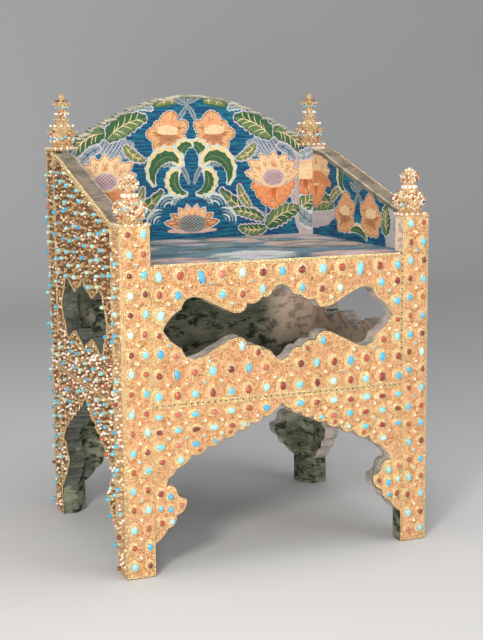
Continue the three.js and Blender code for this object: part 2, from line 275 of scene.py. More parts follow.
SHEET_GOLD = worked_gold("sheet gold", (0.52, 0.24, 0.09), (0.88, 0.52, 0.27), (1.0, 0.89, 0.64))
# Painted shade: the left side's gold is darker and browner than the front's.
SHADED_SIDE_GOLD = worked_gold("side gold", (0.11, 0.042, 0.014), (0.38, 0.18, 0.065), (0.70, 0.41, 0.18),
                        metal=0.85)
BACK_GOLD = worked_gold("back gold", (0.15, 0.065, 0.024), (0.52, 0.29, 0.12), (0.90, 0.66, 0.36))
WIRE_GOLD = worked_gold("wire gold", (0.70, 0.42, 0.18), (0.98, 0.72, 0.38), (1.0, 0.90, 0.66),
                        500.0, 0.20)
POLISHED = worked_gold("polished gold", (0.86, 0.60, 0.26), (1.0, 0.82, 0.46), (1.0, 0.93, 0.70),
                       420.0, 0.10)
print("golds", [m.name for m in (SHEET_GOLD, SHADED_SIDE_GOLD, BACK_GOLD, WIRE_GOLD, POLISHED)])

# %% [markdown]
# ## Stones and pearls
#
# Turquoise is waxy and opaque, from sky blue to a greenish blue, with faint brown veins. The garnets
# and rubies are dark red domes that glow orange where light comes back from the foil. Pearls are
# creamy with a soft second reflection. A number kept on each stone, called tint, picks its shade.

# %% Cut the stones' finishes
def turquoise_finish():
    f = Finish("turquoise")
    shade = f.shades((0.0, (0.045, 0.34, 0.58)), (0.4, (0.10, 0.50, 0.70)),
                     (0.75, (0.30, 0.66, 0.72)), (1.0, (0.54, 0.74, 0.62)))
    cloud = f.noise(260.0, 3.0, 0.6)
    veins = f.step(f.cells(190.0, "DISTANCE_TO_EDGE"), 0.0, 0.05)
    paler = f.mix(f.step(cloud, 0.5, 0.75) * 0.45, shade, (0.45, 0.78, 0.84))
    colour = f.mix((1 - veins) * f.step(cloud, 0.45, 0.65) * 0.5, paler, (0.22, 0.24, 0.18))
    return f.done(Base_Color=colour, Roughness=0.12 + cloud * 0.12, Coat_Weight=0.5,
                  Normal=f.bump(cloud, 0.0004, 0.4))


def garnet_finish():
    f = Finish("garnet")
    shade = f.shades((0.0, (0.13, 0.012, 0.008)), (0.45, (0.27, 0.030, 0.014)),
                     (0.8, (0.38, 0.065, 0.026)), (1.0, (0.50, 0.16, 0.11)))
    glow = f.noise(120.0, 2.0)
    colour = f.mix(f.step(glow, 0.5, 0.8) * 0.5, shade, (0.75, 0.17, 0.05))
    return f.done(Base_Color=colour, Roughness=0.12 + glow * 0.08, Coat_Weight=0.6)


def pearl_finish():
    f = Finish("pearl")
    shade = f.shades((0.0, (0.82, 0.62, 0.46)), (0.5, (0.90, 0.78, 0.64)), (1.0, (0.84, 0.80, 0.80)))
    soft = f.noise(300.0, 2.0)
    colour = f.mix(f.step(soft, 0.45, 0.7) * 0.4, shade, (0.93, 0.74, 0.60))
    return f.done(Base_Color=colour, Roughness=0.18 + soft * 0.12, Coat_Weight=0.5)


TURQUOISE = turquoise_finish()
GARNET = garnet_finish()
PEARL = pearl_finish()
print("stones", [m.name for m in (TURQUOISE, GARNET, PEARL)])

# %% [markdown]
# ## Sizes taken from the packed model
#
# The caps on the posts are as wide as the gold-clad posts, so their boxes give the half width and
# half depth of the throne. The other heights come from the boards and the seat.

# %% Read the sizes
def millimetres(node):
    low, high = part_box(node)
    return [c / MM for c in low], [c / MM for c in high]


cap_low, cap_high = millimetres("post_cap_front_right")
HALF_W, HALF_D = cap_high[0], -cap_low[1]
POST_IN_X, POST_IN_Y = cap_low[0], -cap_high[1]
GAP = 0.3
FRONT_POST_TOP = cap_low[2] - GAP
BACK_POST_TOP = millimetres("post_cap_back_right")[0][2] - GAP
CAP_THICK = cap_high[2] - cap_low[2]
SEAM = millimetres("front_apron")[1][2] + GAP / 2
SEAT_TOP = millimetres("seat_cover")[1][2]
SHEET_TOP = millimetres("front_panel_sheet")[1][2]
BOARD_IN_X = millimetres("side_panel_right")[0][0]
BOARD_IN_Y = millimetres("back_panel")[0][1]
UNDER_TOP = millimetres("under_lining_back")[1][2]
FLOOR_LIFT = millimetres("post_sheet_front_left")[0][2]
SHEET_THICK = 1.5
BETWEEN_X, BETWEEN_Y = POST_IN_X - GAP, POST_IN_Y - GAP
POST = HALF_W - POST_IN_X
print("half width", round(HALF_W, 1), "half depth", round(HALF_D, 1), "seam", round(SEAM, 1))

# %% [markdown]
# ## Outlines
#
# The lobed arches and the cusped openings are rows of small arcs between cusps. They repeat the
# solids' outlines with more steps on each arc. A positive bulge lies to the left of the way.

# %% Draw arcs between cusps
STEPS = 6  # points on each arc


def unit(rows):
    return rows / (np.linalg.norm(rows, axis=1, keepdims=True) + 1e-9)


def left_of(rows):
    return np.stack((-rows[:, 1], rows[:, 0]), 1)


def arc(a, b, bulge, steps=STEPS):
    a, b = np.array(a, float), np.array(b, float)
    chord = b - a
    left = np.array((-chord[1], chord[0]))
    angle = 4 * math.atan(2 * abs(bulge))
    radius = 0.5 / math.sin(angle / 2)
    points = []
    for i in range(1, steps + 1):
        turn = angle * (i / steps - 0.5)
        along = 0.5 + radius * math.sin(turn)
        rise = radius * (math.cos(turn) - math.cos(angle / 2)) * math.copysign(1, bulge)
        points.append(a + along * chord + rise * left)
    return points


def arcs(start, stops):
    points = [np.array(start, float)]
    for stop, bulge in stops:
        points += arc(points[-1], stop, bulge) if bulge else [np.array(stop, float)]
    return points


def mirrored(points):
    return [np.array((-p[0], p[1])) for p in points][::-1]


FOOT_EDGE = 64
SPRING_IN, SPRING_UP = 72.5, 226.5  # where the arch springs from its brackets
CROWN_CUSP = 9  # how far the last cusps lie under the crown
LOBE_SPREAD = 1.25  # the lobes grow wider towards the posts


def arch_edge(post, lobes, crown):
    """From the right foot over the lobed arch to the left foot."""
    def inward(u, z):
        return post - u, z

    half = arcs(inward(0, FOOT_EDGE), [
        (inward(25, 90), 0.08), (inward(42, 113), 0.22), (inward(62, 143), 0.22),
        (inward(50, 147.5), 0), (inward(44, 158), -0.12), (inward(24, 171.5), 0.26),
        (inward(38.5, 192.5), -0.2), (inward(52, 206), -0.14),
        (inward(SPRING_IN, SPRING_UP), 0.14),
    ])
    span = post - SPRING_IN
    rise = crown - CROWN_CUSP - SPRING_UP
    for k in range(lobes - 1, 0, -1):
        u = span * (k / lobes) ** LOBE_SPREAD
        half += arc(half[-1], (u, SPRING_UP + rise * (1 - u / span)), 0.23)
    half += arc(half[-1], (0, crown), 0.18)
    return half + mirrored(half)[1:]


def cartouche(half_length, centre, crown, lobe, neck):
    """The three-part cusped opening."""
    def q(share, rise):
        return share * half_length, rise

    def cusp(share):
        return neck + (crown - neck) * share

    quarter = arcs(q(1, 0), [
        (q(0.845, lobe * 0.64), -0.08), (q(0.735, lobe), -0.22),
        (q(0.6, lobe + (neck - lobe) * 0.36), -0.06), (q(0.47, lobe + (neck - lobe) * 0.8), 0),
        (q(0.37, neck), 0.07), (q(0.298, cusp(0.36)), 0.2), (q(0.168, cusp(0.58)), 0.19),
        (q(0.084, cusp(0.71)), 0.2), (q(0, crown), -0.14),
    ])
    top = quarter + mirrored(quarter)[1:]
    bottom = [np.array((p[0], -p[1])) for p in top[1:-1]][::-1]
    return [p + np.array((0, centre)) for p in top + bottom]


BACK_CROWN, BACK_SHOULDER, CROWN_LOBE, BACK_LOBES = 895, 799, 62, 7


def back_top(post):
    rise = BACK_CROWN - BACK_SHOULDER
    half = [np.array((post, BACK_SHOULDER), float)]
    for k in range(1, BACK_LOBES + 1):
        u = post - (post - CROWN_LOBE) * k / BACK_LOBES
        half += arc(half[-1], (u, BACK_SHOULDER + rise * (1 - (u / post) ** 1.7)), -0.17)
    half += arc(half[-1], (0, BACK_CROWN), -0.05, STEPS * 2)
    return half + mirrored(half)[1:]


ARM_BACK, ARM_SHOULDER, ARM_FRONT = 776, (112, 757), 661


def arm_top(post, drop):
    """From the front of an arm, at +u, to its back."""
    shoulder = (-ARM_SHOULDER[0], ARM_SHOULDER[1] - drop)
    return arcs((post, ARM_FRONT - drop), [(shoulder, 0), ((-post, ARM_BACK - drop), -0.05)])


FRONT_OPENING = (238, 464.5, 72, 58, 23)  # half length, middle, crown, side lobe, neck
SIDE_OPENING = (162, 464, 66, 60, 39)
FRONT_SPAN = (BETWEEN_X, 7, 313)  # half width of an arch, lobes to each side, height of its crown
SIDE_SPAN = (BETWEEN_Y, 5, 303)
print("arch points", len(arch_edge(*FRONT_SPAN)))

# %% [markdown]
# ## Piles of small things
#
# Grains, wires, collets and stones come in thousands. Modelling one of each and copying its numbers
# with numpy is quick, and the copies of one kind on one face become a single mesh, which keeps the
# scene light. A template is modelled upright: x along the face, y up, z out of it.

# %% Model one of each
def lathe(profile, sides):
    """Turns (radius, height) pairs round z. A radius of 0 closes the end to a point."""
    points, threes, fours, rings = [], [], [], []
    for radius, height in profile:
        if radius == 0:
            rings.append([len(points)])
            points.append((0, 0, height))
            continue
        rings.append(list(range(len(points), len(points) + sides)))
        for i in range(sides):
            a = 2 * math.pi * i / sides
            points.append((radius * math.cos(a), radius * math.sin(a), height))
    for low, high in zip(rings, rings[1:]):
        for i in range(sides):
            j = (i + 1) % sides
            if len(low) == 1:
                threes.append((low[0], high[j], high[i]))
            elif len(high) == 1:
                threes.append((low[i], low[j], high[0]))
            else:
                fours.append((low[i], low[j], high[j], high[i]))
    return np.array(points, float), threes, fours


def ridge(path, width, height, closed=False, flat=False):
    """A raised line along a path in the sheet: a low roof, or with flat a roof with a round top."""
    path = np.array(path, float)
    ahead = np.roll(path, -1, 0) - path
    behind = path - np.roll(path, 1, 0)
    if not closed:
        ahead[-1], behind[0] = behind[-1], ahead[0]
    side = left_of(unit(unit(ahead) + unit(behind)))
    section = [(-0.5, 0), (0, 1), (0.5, 0)]
    if flat:
        section = [(-0.5, 0), (-0.3, 0.8), (0, 1), (0.3, 0.8), (0.5, 0)]
    points, fours, count = [], [], len(section)
    for p, s in zip(path, side):
        for across, up in section:
            points.append((*(p - s * across * width), up * height))
    runs = len(path) if closed else len(path) - 1
    for i in range(runs):
        j = (i + 1) % len(path)
        for k in range(count - 1):
            a, b = i * count + k, j * count + k
            fours.append((a, a + 1, b + 1, b))
    return np.array(points, float), [], [tuple(reversed(q)) for q in fours]


def scroll_path(turns, steps):
    """An S with a spiral at each end: the curve bends more the further it is from the middle."""
    t = np.linspace(-turns, turns, steps)
    fine = np.linspace(-turns, turns, steps * 20)
    heading = math.pi * 0.5 * fine * np.abs(fine)
    x = np.cumsum(np.cos(heading)) * (fine[1] - fine[0])
    y = np.cumsum(np.sin(heading)) * (fine[1] - fine[0])
    path = np.stack((np.interp(t, fine, x), np.interp(t, fine, y)), 1)
    return path - path.mean(0)


GRAIN = lathe([(1, 0), (0, 1)], 6)
DOME = lathe([(1, 0), (0.93, 0.42), (0.68, 0.80), (0.32, 0.97), (0, 1)], 12)
COLLET = lathe([(1.95, 0), (1.60, 0.30), (1.28, 0.80), (1.12, 1.0), (0.95, 1.0), (0.90, 0.8)], 12)
TALL_COLLET = lathe([(1.34, 0), (1.22, 0.4), (1.12, 1.0), (0.95, 1.0), (0.90, 0.8)], 12)
CUP = lathe([(0.85, 0), (0.72, 0.5), (1.05, 1.0), (0.8, 1.0)], 8)
BALL = lathe([(0, -1), (0.80, -0.62), (1.0, 0.08), (0.72, 0.72), (0, 1)], 8)
STEM = lathe([(1.15, 0), (0.62, 0.55), (0.55, 1.0)], 6)
BEAD = lathe([(0.55, -0.9), (1.0, 0.05), (0.66, 0.76), (0, 1)], 7)
SCROLL = ridge(scroll_path(1.95, 17) * 4.6, 1.3, 1.1)
print("template points", {n: len(t[0]) for n, t in dict(grain=GRAIN, dome=DOME, collet=COLLET).items()})

# %% [markdown]
# A pile gathers the copies. Each face of the throne has its own axes: along, up and out.

# %% Gather copies and stand them on a face
FACE_AXES = {
    "front": ((0, -HALF_D, 0), (1, 0, 0), (0, -1, 0)),
    "right": ((HALF_W, 0, 0), (0, 1, 0), (1, 0, 0)),
    "back": ((0, HALF_D, 0), (-1, 0, 0), (0, 1, 0)),
    "left": ((-HALF_W, 0, 0), (0, -1, 0), (-1, 0, 0)),
}


def spin(angles):
    """Turns about the way out of the face."""
    c, s, o = np.cos(angles), np.sin(angles), np.zeros_like(angles)
    rows = [np.stack((c, -s, o), -1), np.stack((s, c, o), -1), np.stack((o, o, o + 1), -1)]
    return np.stack(rows, 1)


class Pile:
    """Copies of templates, in one face's axes."""

    def __init__(self):
        self.points, self.threes, self.fours, self.tints, self.total = [], [], [], [], 0

    def put(self, template, places, size=1.0, turns=None, tint=0.5):
        """places are (along, up, out); size is one number, or three, for all or for each copy."""
        points, threes, fours = template
        places = np.atleast_2d(np.array(places, float))
        if places.size == 0:
            return
        count = len(places)
        size = np.array(size, float)
        if size.ndim == 0:
            size = np.full((count, 3), float(size))
        elif size.ndim == 1 and len(size) == count and count != 3:
            size = np.repeat(size[:, None], 3, 1)
        elif size.ndim == 1:
            size = np.repeat(size[None, :], count, 0)
        scaled = points[None, :, :] * size[:, None, :]
        if turns is not None:
            scaled = np.einsum("nij,nmj->nmi", np.array(turns), scaled)
        self.points.append((scaled + places[:, None, :]).reshape(-1, 3))
        starts = self.total + np.arange(count)[:, None, None] * len(points)
        for faces, kept in ((threes, self.threes), (fours, self.fours)):
            if len(faces):
                kept.append((np.array(faces)[None] + starts).reshape(-1, len(faces[0])))
        tint = np.broadcast_to(np.array(tint, float), (count,))
        self.tints.append(np.repeat(tint, len(points)))
        self.total += count * len(points)

    def add_mesh(self, points, threes=(), fours=()):
        self.put((np.array(points, float), threes, fours), [(0, 0, 0)])


def to_world(points, face):
    if face is None:
        return points * MM
    origin, along, out = (np.array(v, float) for v in FACE_AXES[face])
    up = np.array((0, 0, 1.0))
    return (origin + points[:, :1] * along + points[:, 1:2] * up + points[:, 2:] * out) * MM


def build_mesh(name, points, groups):
    """Fills a mesh from arrays of triangles and quads."""
    mesh = bpy.data.meshes.new(name)
    mesh.vertices.add(len(points))
    mesh.vertices.foreach_set("co", np.ascontiguousarray(points, np.float32).ravel())
    corners = np.concatenate([g.ravel() for g in groups]).astype(np.int32)
    lengths = np.concatenate([np.full(len(g), g.shape[1]) for g in groups])
    mesh.loops.add(len(corners))
    mesh.loops.foreach_set("vertex_index", corners)
    mesh.polygons.add(len(lengths))
    starts = np.concatenate(([0], np.cumsum(lengths)[:-1])).astype(np.int32)
    mesh.polygons.foreach_set("loop_start", starts)
    mesh.update(calc_edges=True)
    mesh.validate()
    return mesh


made = {}


def show(name, mesh, material, replaces=(), smooth=True):
    """Turns a mesh into a piece that rides on the throne."""
    mesh.polygons.foreach_set("use_smooth", np.full(len(mesh.polygons), smooth))
    mesh.materials.append(material)
    piece = bpy.data.objects.new(name, mesh)
    bpy.context.scene.collection.objects.link(piece)
    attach(piece, "root")
    if replaces:
        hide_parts(*replaces)
    made[name] = sum(len(p.vertices) - 2 for p in mesh.polygons)
    return piece


def show_piles(name, piles, material, replaces=()):
    """Joins (pile, face) pairs into one piece; a face of None means the throne's own axes."""
    piles = [(pile, face) for pile, face in piles if pile.total]
    if not piles:
        return
    points, groups, tints, start = [], {3: [], 4: []}, [], 0
    for pile, face in piles:
        points.append(to_world(np.concatenate(pile.points), face))
        for kept in (pile.threes, pile.fours):
            for faces in kept:
                groups[faces.shape[1]].append(faces + start)
        tints += pile.tints
        start += pile.total
    groups = [np.concatenate(group) for group in groups.values() if group]
    mesh = build_mesh(name, np.concatenate(points), groups)
    values = mesh.attributes.new("tint", "FLOAT", "POINT")
    values.data.foreach_set("value", np.concatenate(tints).astype(np.float32))
    show(name, mesh, material, replaces)


print("faces", list(FACE_AXES))

# %% [markdown]
# ## Flat shapes filled with triangles
#
# Sheets and cloth are flat shapes with holes. A constrained triangulation keeps every outline
# exactly, and also says which outlines each triangle lies in, which later colours the silk.

# %% Fill outlines with triangles
def signed_area(loop):
    """More than 0 for a loop that runs anticlockwise."""
    x, y = np.array(loop, float).T
    return (x @ np.roll(y, -1) - y @ np.roll(x, -1)) / 2


def anticlockwise(loop):
    loop = [np.array(p[:2], float) for p in loop]
    return loop if signed_area(loop) > 0 else loop[::-1]


def skirt(count):
    """Quads between a loop of count points and a second one that follows it in the list."""
    i = np.arange(count)
    j = (i + 1) % count
    return np.stack((i, i + count, j + count, j), 1)


def triangulate(loops, extra=()):
    """Returns points, triangles and, for each triangle, the numbers of the loops around it."""
    flat, faces = [], []
    for loop in loops:
        faces.append(list(range(len(flat), len(flat) + len(loop))))
        flat += [Vector(p) for p in anticlockwise(loop)]
    flat += [Vector((float(p[0]), float(p[1]))) for p in extra]
    points, _, triangles, _, _, owners = delaunay_2d_cdt(flat, [], faces, 0, 1e-3, True)
    return np.array([tuple(p) for p in points]), np.array(triangles), owners


def inside(points, loop):
    points, loop = np.atleast_2d(points), np.array(loop)
    odd = np.zeros(len(points), bool)
    for a, b in zip(loop, np.roll(loop, -1, 0)):
        spans = (a[1] > points[:, 1]) != (b[1] > points[:, 1])
        if a[1] != b[1]:
            reach = a[0] + (points[:, 1] - a[1]) * (b[0] - a[0]) / (b[1] - a[1])
            odd ^= spans & (points[:, 0] < reach)
    return odd


def distance_to(points, loop):
    points, loop = np.atleast_2d(points), np.array(loop)
    best = np.full(len(points), 1e9)
    for a, b in zip(loop, np.roll(loop, -1, 0)):
        way = b - a
        share = np.clip((points - a) @ way / max(way @ way, 1e-12), 0, 1)
        best = np.minimum(best, np.linalg.norm(points - a - share[:, None] * way, axis=1))
    return best


def room(points, outline, holes=()):
    """How far each point is from the nearest edge of a sheet; negative where there is no sheet."""
    free = distance_to(points, outline)
    on_sheet = inside(points, outline)
    for hole in holes:
        free = np.minimum(free, distance_to(points, hole))
        on_sheet &= ~inside(points, hole)
    return np.where(on_sheet, free, -free)


def scatter(outline, pitch, jitter=0.3):
    """Points on a staggered grid over an outline, each moved a little."""
    low, high = np.min(outline, 0), np.max(outline, 0)
    points = []
    for row, z in enumerate(np.arange(low[1], high[1] + pitch, pitch * 0.87)):
        shift = pitch / 2 if row % 2 else 0
        for u in np.arange(low[0] + shift, high[0] + pitch, pitch):
            wander = rng.uniform(-jitter, jitter), rng.uniform(-jitter, jitter)
            points.append((u + wander[0] * pitch, z + wander[1] * pitch))
    return np.array(points)


def inset(loop, distance):
    """A loop moved to its left, with mitred corners and without the stretches that would cross."""
    loop = np.array(loop, float)
    ahead = left_of(unit(np.roll(loop, -1, 0) - loop))
    behind = np.roll(ahead, 1, 0)
    mitre = (ahead + behind) / np.maximum(1 + (ahead * behind).sum(1, keepdims=True), 0.5)
    moved = loop + mitre * distance
    return moved[distance_to(moved, loop) > abs(distance) * 0.93]


print("triangles in an arch", len(triangulate([arch_edge(*FRONT_SPAN) + [(-250, 320), (250, 320)]])[1]))

# %% [markdown]
# ## The gold sheets
#
# Each sheet is beaten, so its surface wanders by a few tenths of a millimetre. On it lie scrolls of
# flat wire, a field of grains and a double wire along every edge. The relief that can be seen from
# a step away is modelled, and the finish adds what is finer.

# %% Beat a sheet and wire its edges
BEATEN = 0.45  # how far the surface wanders
DENTS = 7.0  # the pitch of the dents
WIRES_IN = (1.6, 5.2)  # how far the two wires lie inside an edge
WIRE_WIDTH, WIRE_HEIGHT = 2.2, 1.5


def raised(points, height):
    """Flat points with a height, which is one number or one for each point."""
    return np.column_stack((points, np.broadcast_to(height, (len(points),))))


def beaten_sheet(pile, outline, holes=()):
    grid = scatter(outline, DENTS, 0.25)
    grid = grid[room(grid, outline, holes) > DENTS * 0.35]
    points, triangles, owners = triangulate([outline, *holes], grid)
    keep = [0 in own and not any(h in own for h in range(1, len(holes) + 1)) for own in owners]
    wander = np.array([rng.uniform(-BEATEN, BEATEN) for _ in points])
    rim = len(outline) + sum(len(h) for h in holes)
    wander[:rim] = 0
    pile.add_mesh(raised(points, wander), threes=triangles[np.array(keep)])
    for k, loop in enumerate([outline, *holes]):
        quads = skirt(len(loop))
        both = np.concatenate((raised(loop, 0.0), raised(loop, -SHEET_THICK)))
        pile.add_mesh(both, fours=quads[:, ::-1] if k else quads)


def lay_wire(pile, path, width, height, closed=False):
    points, threes, fours = ridge(path, width, height, closed, flat=True)
    pile.add_mesh(points, np.array(threes).reshape(-1, 3), np.array(fours).reshape(-1, 4))


def wire_edges(pile, outline, holes=()):
    for k, loop in enumerate([outline, *holes]):
        for distance in WIRES_IN:
            path = inset(loop, -distance if k else distance)
            if len(path) > 3:
                lay_wire(pile, path, WIRE_WIDTH, WIRE_HEIGHT, closed=True)


def fill_relief(pile, outline, holes, stones, scroll_pitch, grain_pitch, grain):
    """Scrolls and grains wherever there is room between the edges and the stones."""
    def clear(points, edge, stone_room):
        free = room(points, outline, holes) > edge
        for u, z, a, b, *_ in stones:
            away = np.hypot((points[:, 0] - u) / (a + stone_room), (points[:, 1] - z) / (b + stone_room))
            free &= away > 1
        return points[free]

    scrolls = clear(scatter(outline, scroll_pitch, 0.2), 10.5, 6.0) if scroll_pitch else []
    if len(scrolls):
        angles = np.array([rng.uniform(0, math.pi) for _ in scrolls])
        sizes = np.array([(s, s, 1.0) for s in (rng.uniform(0.8, 1.1) for _ in scrolls)])
        pile.put(SCROLL, raised(scrolls, 0.0), sizes, spin(angles))
    grains = clear(scatter(outline, grain_pitch, 0.42), 7.0, 2.6)
    heights = np.array([rng.uniform(0.8, 1.7) for _ in grains])
    sizes = np.stack((heights * grain, heights * grain, heights * 1.1 * grain), 1)
    pile.put(GRAIN, raised(grains, -0.2), sizes)
    return len(scrolls), len(grains)


# %% [markdown]
# ## Setting the stones
#
# On the front every stone sits in a collet: a cup of gold that flares at the foot and closes over
# the edge of a large oval dome. On the sides and back the stones are small and round. Turquoises and
# garnets stand on cups there, and the pearls and gold beads between them lie almost on the sheet.

# %% Set stones in their collets
STONE_SCALE = 1.12  # over the sizes listed below, which leave room between neighbours
COLLET_HEIGHT, DOME_HEIGHT = 6.6, 4.4
SUNK = 0.3  # how far a foot goes into the sheet


def set_stones(gold, stones, piles):
    """stones are (along, up, half width, half height, kind)."""
    for u, z, a, b, kind in stones:
        a, b = a * STONE_SCALE * rng.uniform(0.88, 1.08), b * STONE_SCALE * rng.uniform(0.86, 1.10)
        u, z = u + rng.uniform(-1.4, 1.4), z + rng.uniform(-1.4, 1.4)
        share = min(a, 7) / 7
        rise = COLLET_HEIGHT * (0.75 + 0.25 * share)
        gold.put(COLLET if b < 1.5 * a else TALL_COLLET, [(u, z, -SUNK)], (a, b, rise))
        lean = spin(np.array([rng.uniform(-0.3, 0.3)]))
        size = (a, b, DOME_HEIGHT * (0.7 + 0.3 * share))
        piles[kind].put(DOME, [(u, z, rise * 0.8)], size, lean, rng.random())


def set_pins(gold, pins, piles):
    """Round stones on cups, and pearls and beads that lie low: (along, up, radius, kind)."""
    for kind, pile in piles.items():
        some = np.array([pin[:3] for pin in pins if pin[3] == kind])
        if not len(some):
            continue
        radius = some[:, 2]
        jewel = kind in ("turquoise", "garnet")
        rise = 1.0 + radius * 1.4 if jewel else radius * 0.1
        sizes = np.column_stack((radius, radius, rise))
        gold.put(CUP if jewel else STEM, raised(some[:, :2], -SUNK), sizes)
        shades = [rng.random() for _ in some]
        pile.put(BEAD, raised(some[:, :2], rise + radius * 0.5), radius, None, shades)


def new_piles():
    return {"turquoise": Pile(), "garnet": Pile(), "pearl": Pile(), "bead": Pile()}


STONE_FINISH = {"turquoise": TURQUOISE, "garnet": GARNET, "pearl": PEARL, "bead": WIRE_GOLD}


def show_stones(name, heaps):
    """heaps has the (pile, face) pairs of each kind."""
    for kind, piles in heaps.items():
        show_piles(f"{name}_{kind}s", piles, STONE_FINISH[kind])

# %% [markdown]
# The front follows rows: one along the seat rail, one above and one below the opening, and four on
# the apron, with turquoises and garnets taking turns. Brackets and lobes have one stone each.

# %% List the stones of the front
PITCH, RAIL_PITCH = 35.5, 41.0
T, G, P = "turquoise", "garnet", "pearl"


def turns(k, first=T):
    other = G if first == T else T
    return first if k % 2 == 0 else other


def both_sides(rows):
    """The rows once on the left and once on the right of the middle."""
    return [(side * u, *rest) for side in (-1, 1) for u, *rest in rows]


def front_panel_stones():
    stones = []
    for k in range(-6, 7):
        kind = turns(k)
        tall = abs(k) == 4
        size = (6.0, 12 if tall else 8.5) if kind == T else (6.6, 7.2)
        stones.append((k * RAIL_PITCH, 559 if tall else 563, *size, kind))
    stones += both_sides([
        (42, 530, 5.2, 7.5, T), (83, 524, 5.0, 6.2, G), (121, 525, 5.6, 7.0, T), (209, 529, 5.8, 6.6, T),
        (244, 531, 5.4, 6.4, G), (244, 492, 6.0, 7.6, T), (246, 421, 6.2, 7.8, T), (216, 417, 5.6, 6.2, G),
        (246, 455, 4.6, 5.4, G), (84, 425, 5.6, 7.0, T), (118, 421, 5.0, 6.4, G), (52, 412, 4.6, 5.6, G),
    ])
    for k in range(-7, 8):
        height = 8.2 if turns(k) == T else 7.0
        stones.append((k * PITCH, 382, 5.9, height, turns(k)))
        stones.append((k * PITCH, 342, 5.9, height, turns(k, G)))
    for k in range(-7, 7):
        stones.append(((k + 0.5) * PITCH, 362, 2.4, 2.4, rng.choice([P, T, P])))
        stones.append(((k + 0.5) * RAIL_PITCH, 546, 2.2, 2.2, rng.choice([P, T, G])))
    for u, z in both_sides([(62, 508), (102, 507), (228, 512), (150, 402), (194, 402), (228, 437), (66, 430),
                            (20, 402)]):
        stones.append((u, z, 2.6, 2.6, rng.choice([T, P])))
    return stones


def front_apron_stones():
    stones = []
    for k in range(-7, 8):
        for shift, z, a, b, kind in (
            (0, 305, 7.0, 5.2, turns(k, G)), (0, 276, 7.2, 5.0, turns(k)), (0, 247, 6.6, 5.0, turns(k, G)),
            (4, 219, 6.2, 5.6, turns(k)), (PITCH / 2, 290, 2.4, 2.4, P), (PITCH / 2, 261, 2.4, 2.4, T),
            (PITCH / 2, 233, 2.4, 2.4, P),
        ):
            stones.append((k * PITCH + shift, z, a, b, kind))
    stones += both_sides([
        (237, 190, 5.6, 6.6, T), (212, 190, 4.6, 4.6, T), (249, 160, 5.2, 6.0, G), (229, 152, 5.4, 6.0, T),
        (208, 134, 4.6, 5.2, G), (229, 126, 5.2, 6.0, T), (249, 132, 4.4, 5.0, T), (229, 103, 4.4, 4.8, T),
        (248, 102, 5.0, 5.6, G), (249, 80, 4.0, 4.4, T),
    ])
    post, lobes, crown = FRONT_SPAN
    span, rise = post - SPRING_IN, crown - CROWN_CUSP - SPRING_UP
    for k in range(lobes):
        middle = span * (((k + 0.55) / lobes) ** LOBE_SPREAD)
        z = SPRING_UP + rise * (1 - middle / span) + 4.5
        for side in (-1, 1):
            stones.append((side * middle, z, 4.2, 4.0, turns(k, G)))
    return stones


TALL = 10  # from this half height on, only a stone's width is kept clear of the edges
EDGE_ROOM, APART = 3.0, 1.12


def spaced(stones, outline, holes=()):
    """Drops the stones that would hang over an edge or touch an earlier stone."""
    kept = []
    for u, z, a, b, kind in stones:
        reach = a if b > TALL else max(a, b)
        touches = any(math.hypot((u - s[0]) / (a + s[2]), (z - s[1]) / (b + s[3])) < APART for s in kept)
        if room([(u, z)], outline, holes)[0] >= reach + EDGE_ROOM and not touches:
            kept.append((u, z, a, b, kind))
    return kept


print("front stones", len(front_panel_stones()) + len(front_apron_stones()))

# %% [markdown]
# ## Dressing the front
#
# The panel and the apron are separate sheets that meet in a seam. Their outlines are closed loops,
# drawn anticlockwise as seen from outside.

# %% Dress the front panel and apron
RELIEF = (12.5, 4.6, 1.0)  # pitch of the scrolls, pitch of the grains and size of the grains
SIDE_RELIEF = (0, 4.8, 1.0)
BACK_RELIEF = (22.0, 9.0, 1.6)


def apron_loop(post, lobes, crown):
    top = [np.array((-post, SEAM - GAP / 2)), np.array((post, SEAM - GAP / 2))]
    loop = arch_edge(post, lobes, crown) + top
    return loop[::-1]


def panel_loop(post, top):
    return [np.array((-post, SEAM + GAP / 2)), np.array((post, SEAM + GAP / 2)), *top]


def dress(name, face, outline, holes, stones, gold, pins=(), relief=RELIEF):
    """One gold sheet with its relief, wires and stones, which replaces the plain sheet of that place."""
    metal, wires, piles = Pile(), Pile(), new_piles()
    beaten_sheet(metal, outline, holes)
    laid = fill_relief(metal, outline, holes, stones, *relief)
    wire_edges(wires, outline, holes)
    set_stones(wires, stones, piles)
    set_pins(wires, pins, piles)
    show_piles(name, [(metal, face)], gold, [name.replace("_gold", "_sheet")])
    show_piles(name + "_wires", [(wires, face)], POLISHED)
    show_stones(name, {kind: [(pile, face)] for kind, pile in piles.items()})
    return laid


FRONT_HOLE = cartouche(*FRONT_OPENING)
FRONT_PANEL = panel_loop(BETWEEN_X, [np.array((BETWEEN_X, SHEET_TOP)), np.array((-BETWEEN_X, SHEET_TOP))])
FRONT_APRON = apron_loop(*FRONT_SPAN)
panel_stones = spaced(front_panel_stones(), FRONT_PANEL, [FRONT_HOLE])
apron_stones = spaced(front_apron_stones(), FRONT_APRON)
print("scrolls and grains on the panel",
      dress("front_panel_gold", "front", FRONT_PANEL, [FRONT_HOLE], panel_stones, SHEET_GOLD))
print("scrolls and grains on the apron",
      dress("front_apron_gold", "front", FRONT_APRON, [], apron_stones, SHEET_GOLD))

# %% [markdown]
# ## Dressing the posts
#
# Each post wears an angle of sheet, with two columns of stones on either face and a tiny one between
# each two rows. The front faces have oval stones in collets. The others are a field of small round
# stones, pearls and beads, like the panels beside them.

# %% Dress the corner posts
POST_ROW, POST_FIRST = 36.3, 24
COLUMNS = (14.0, 42.5)  # in from the outer edge


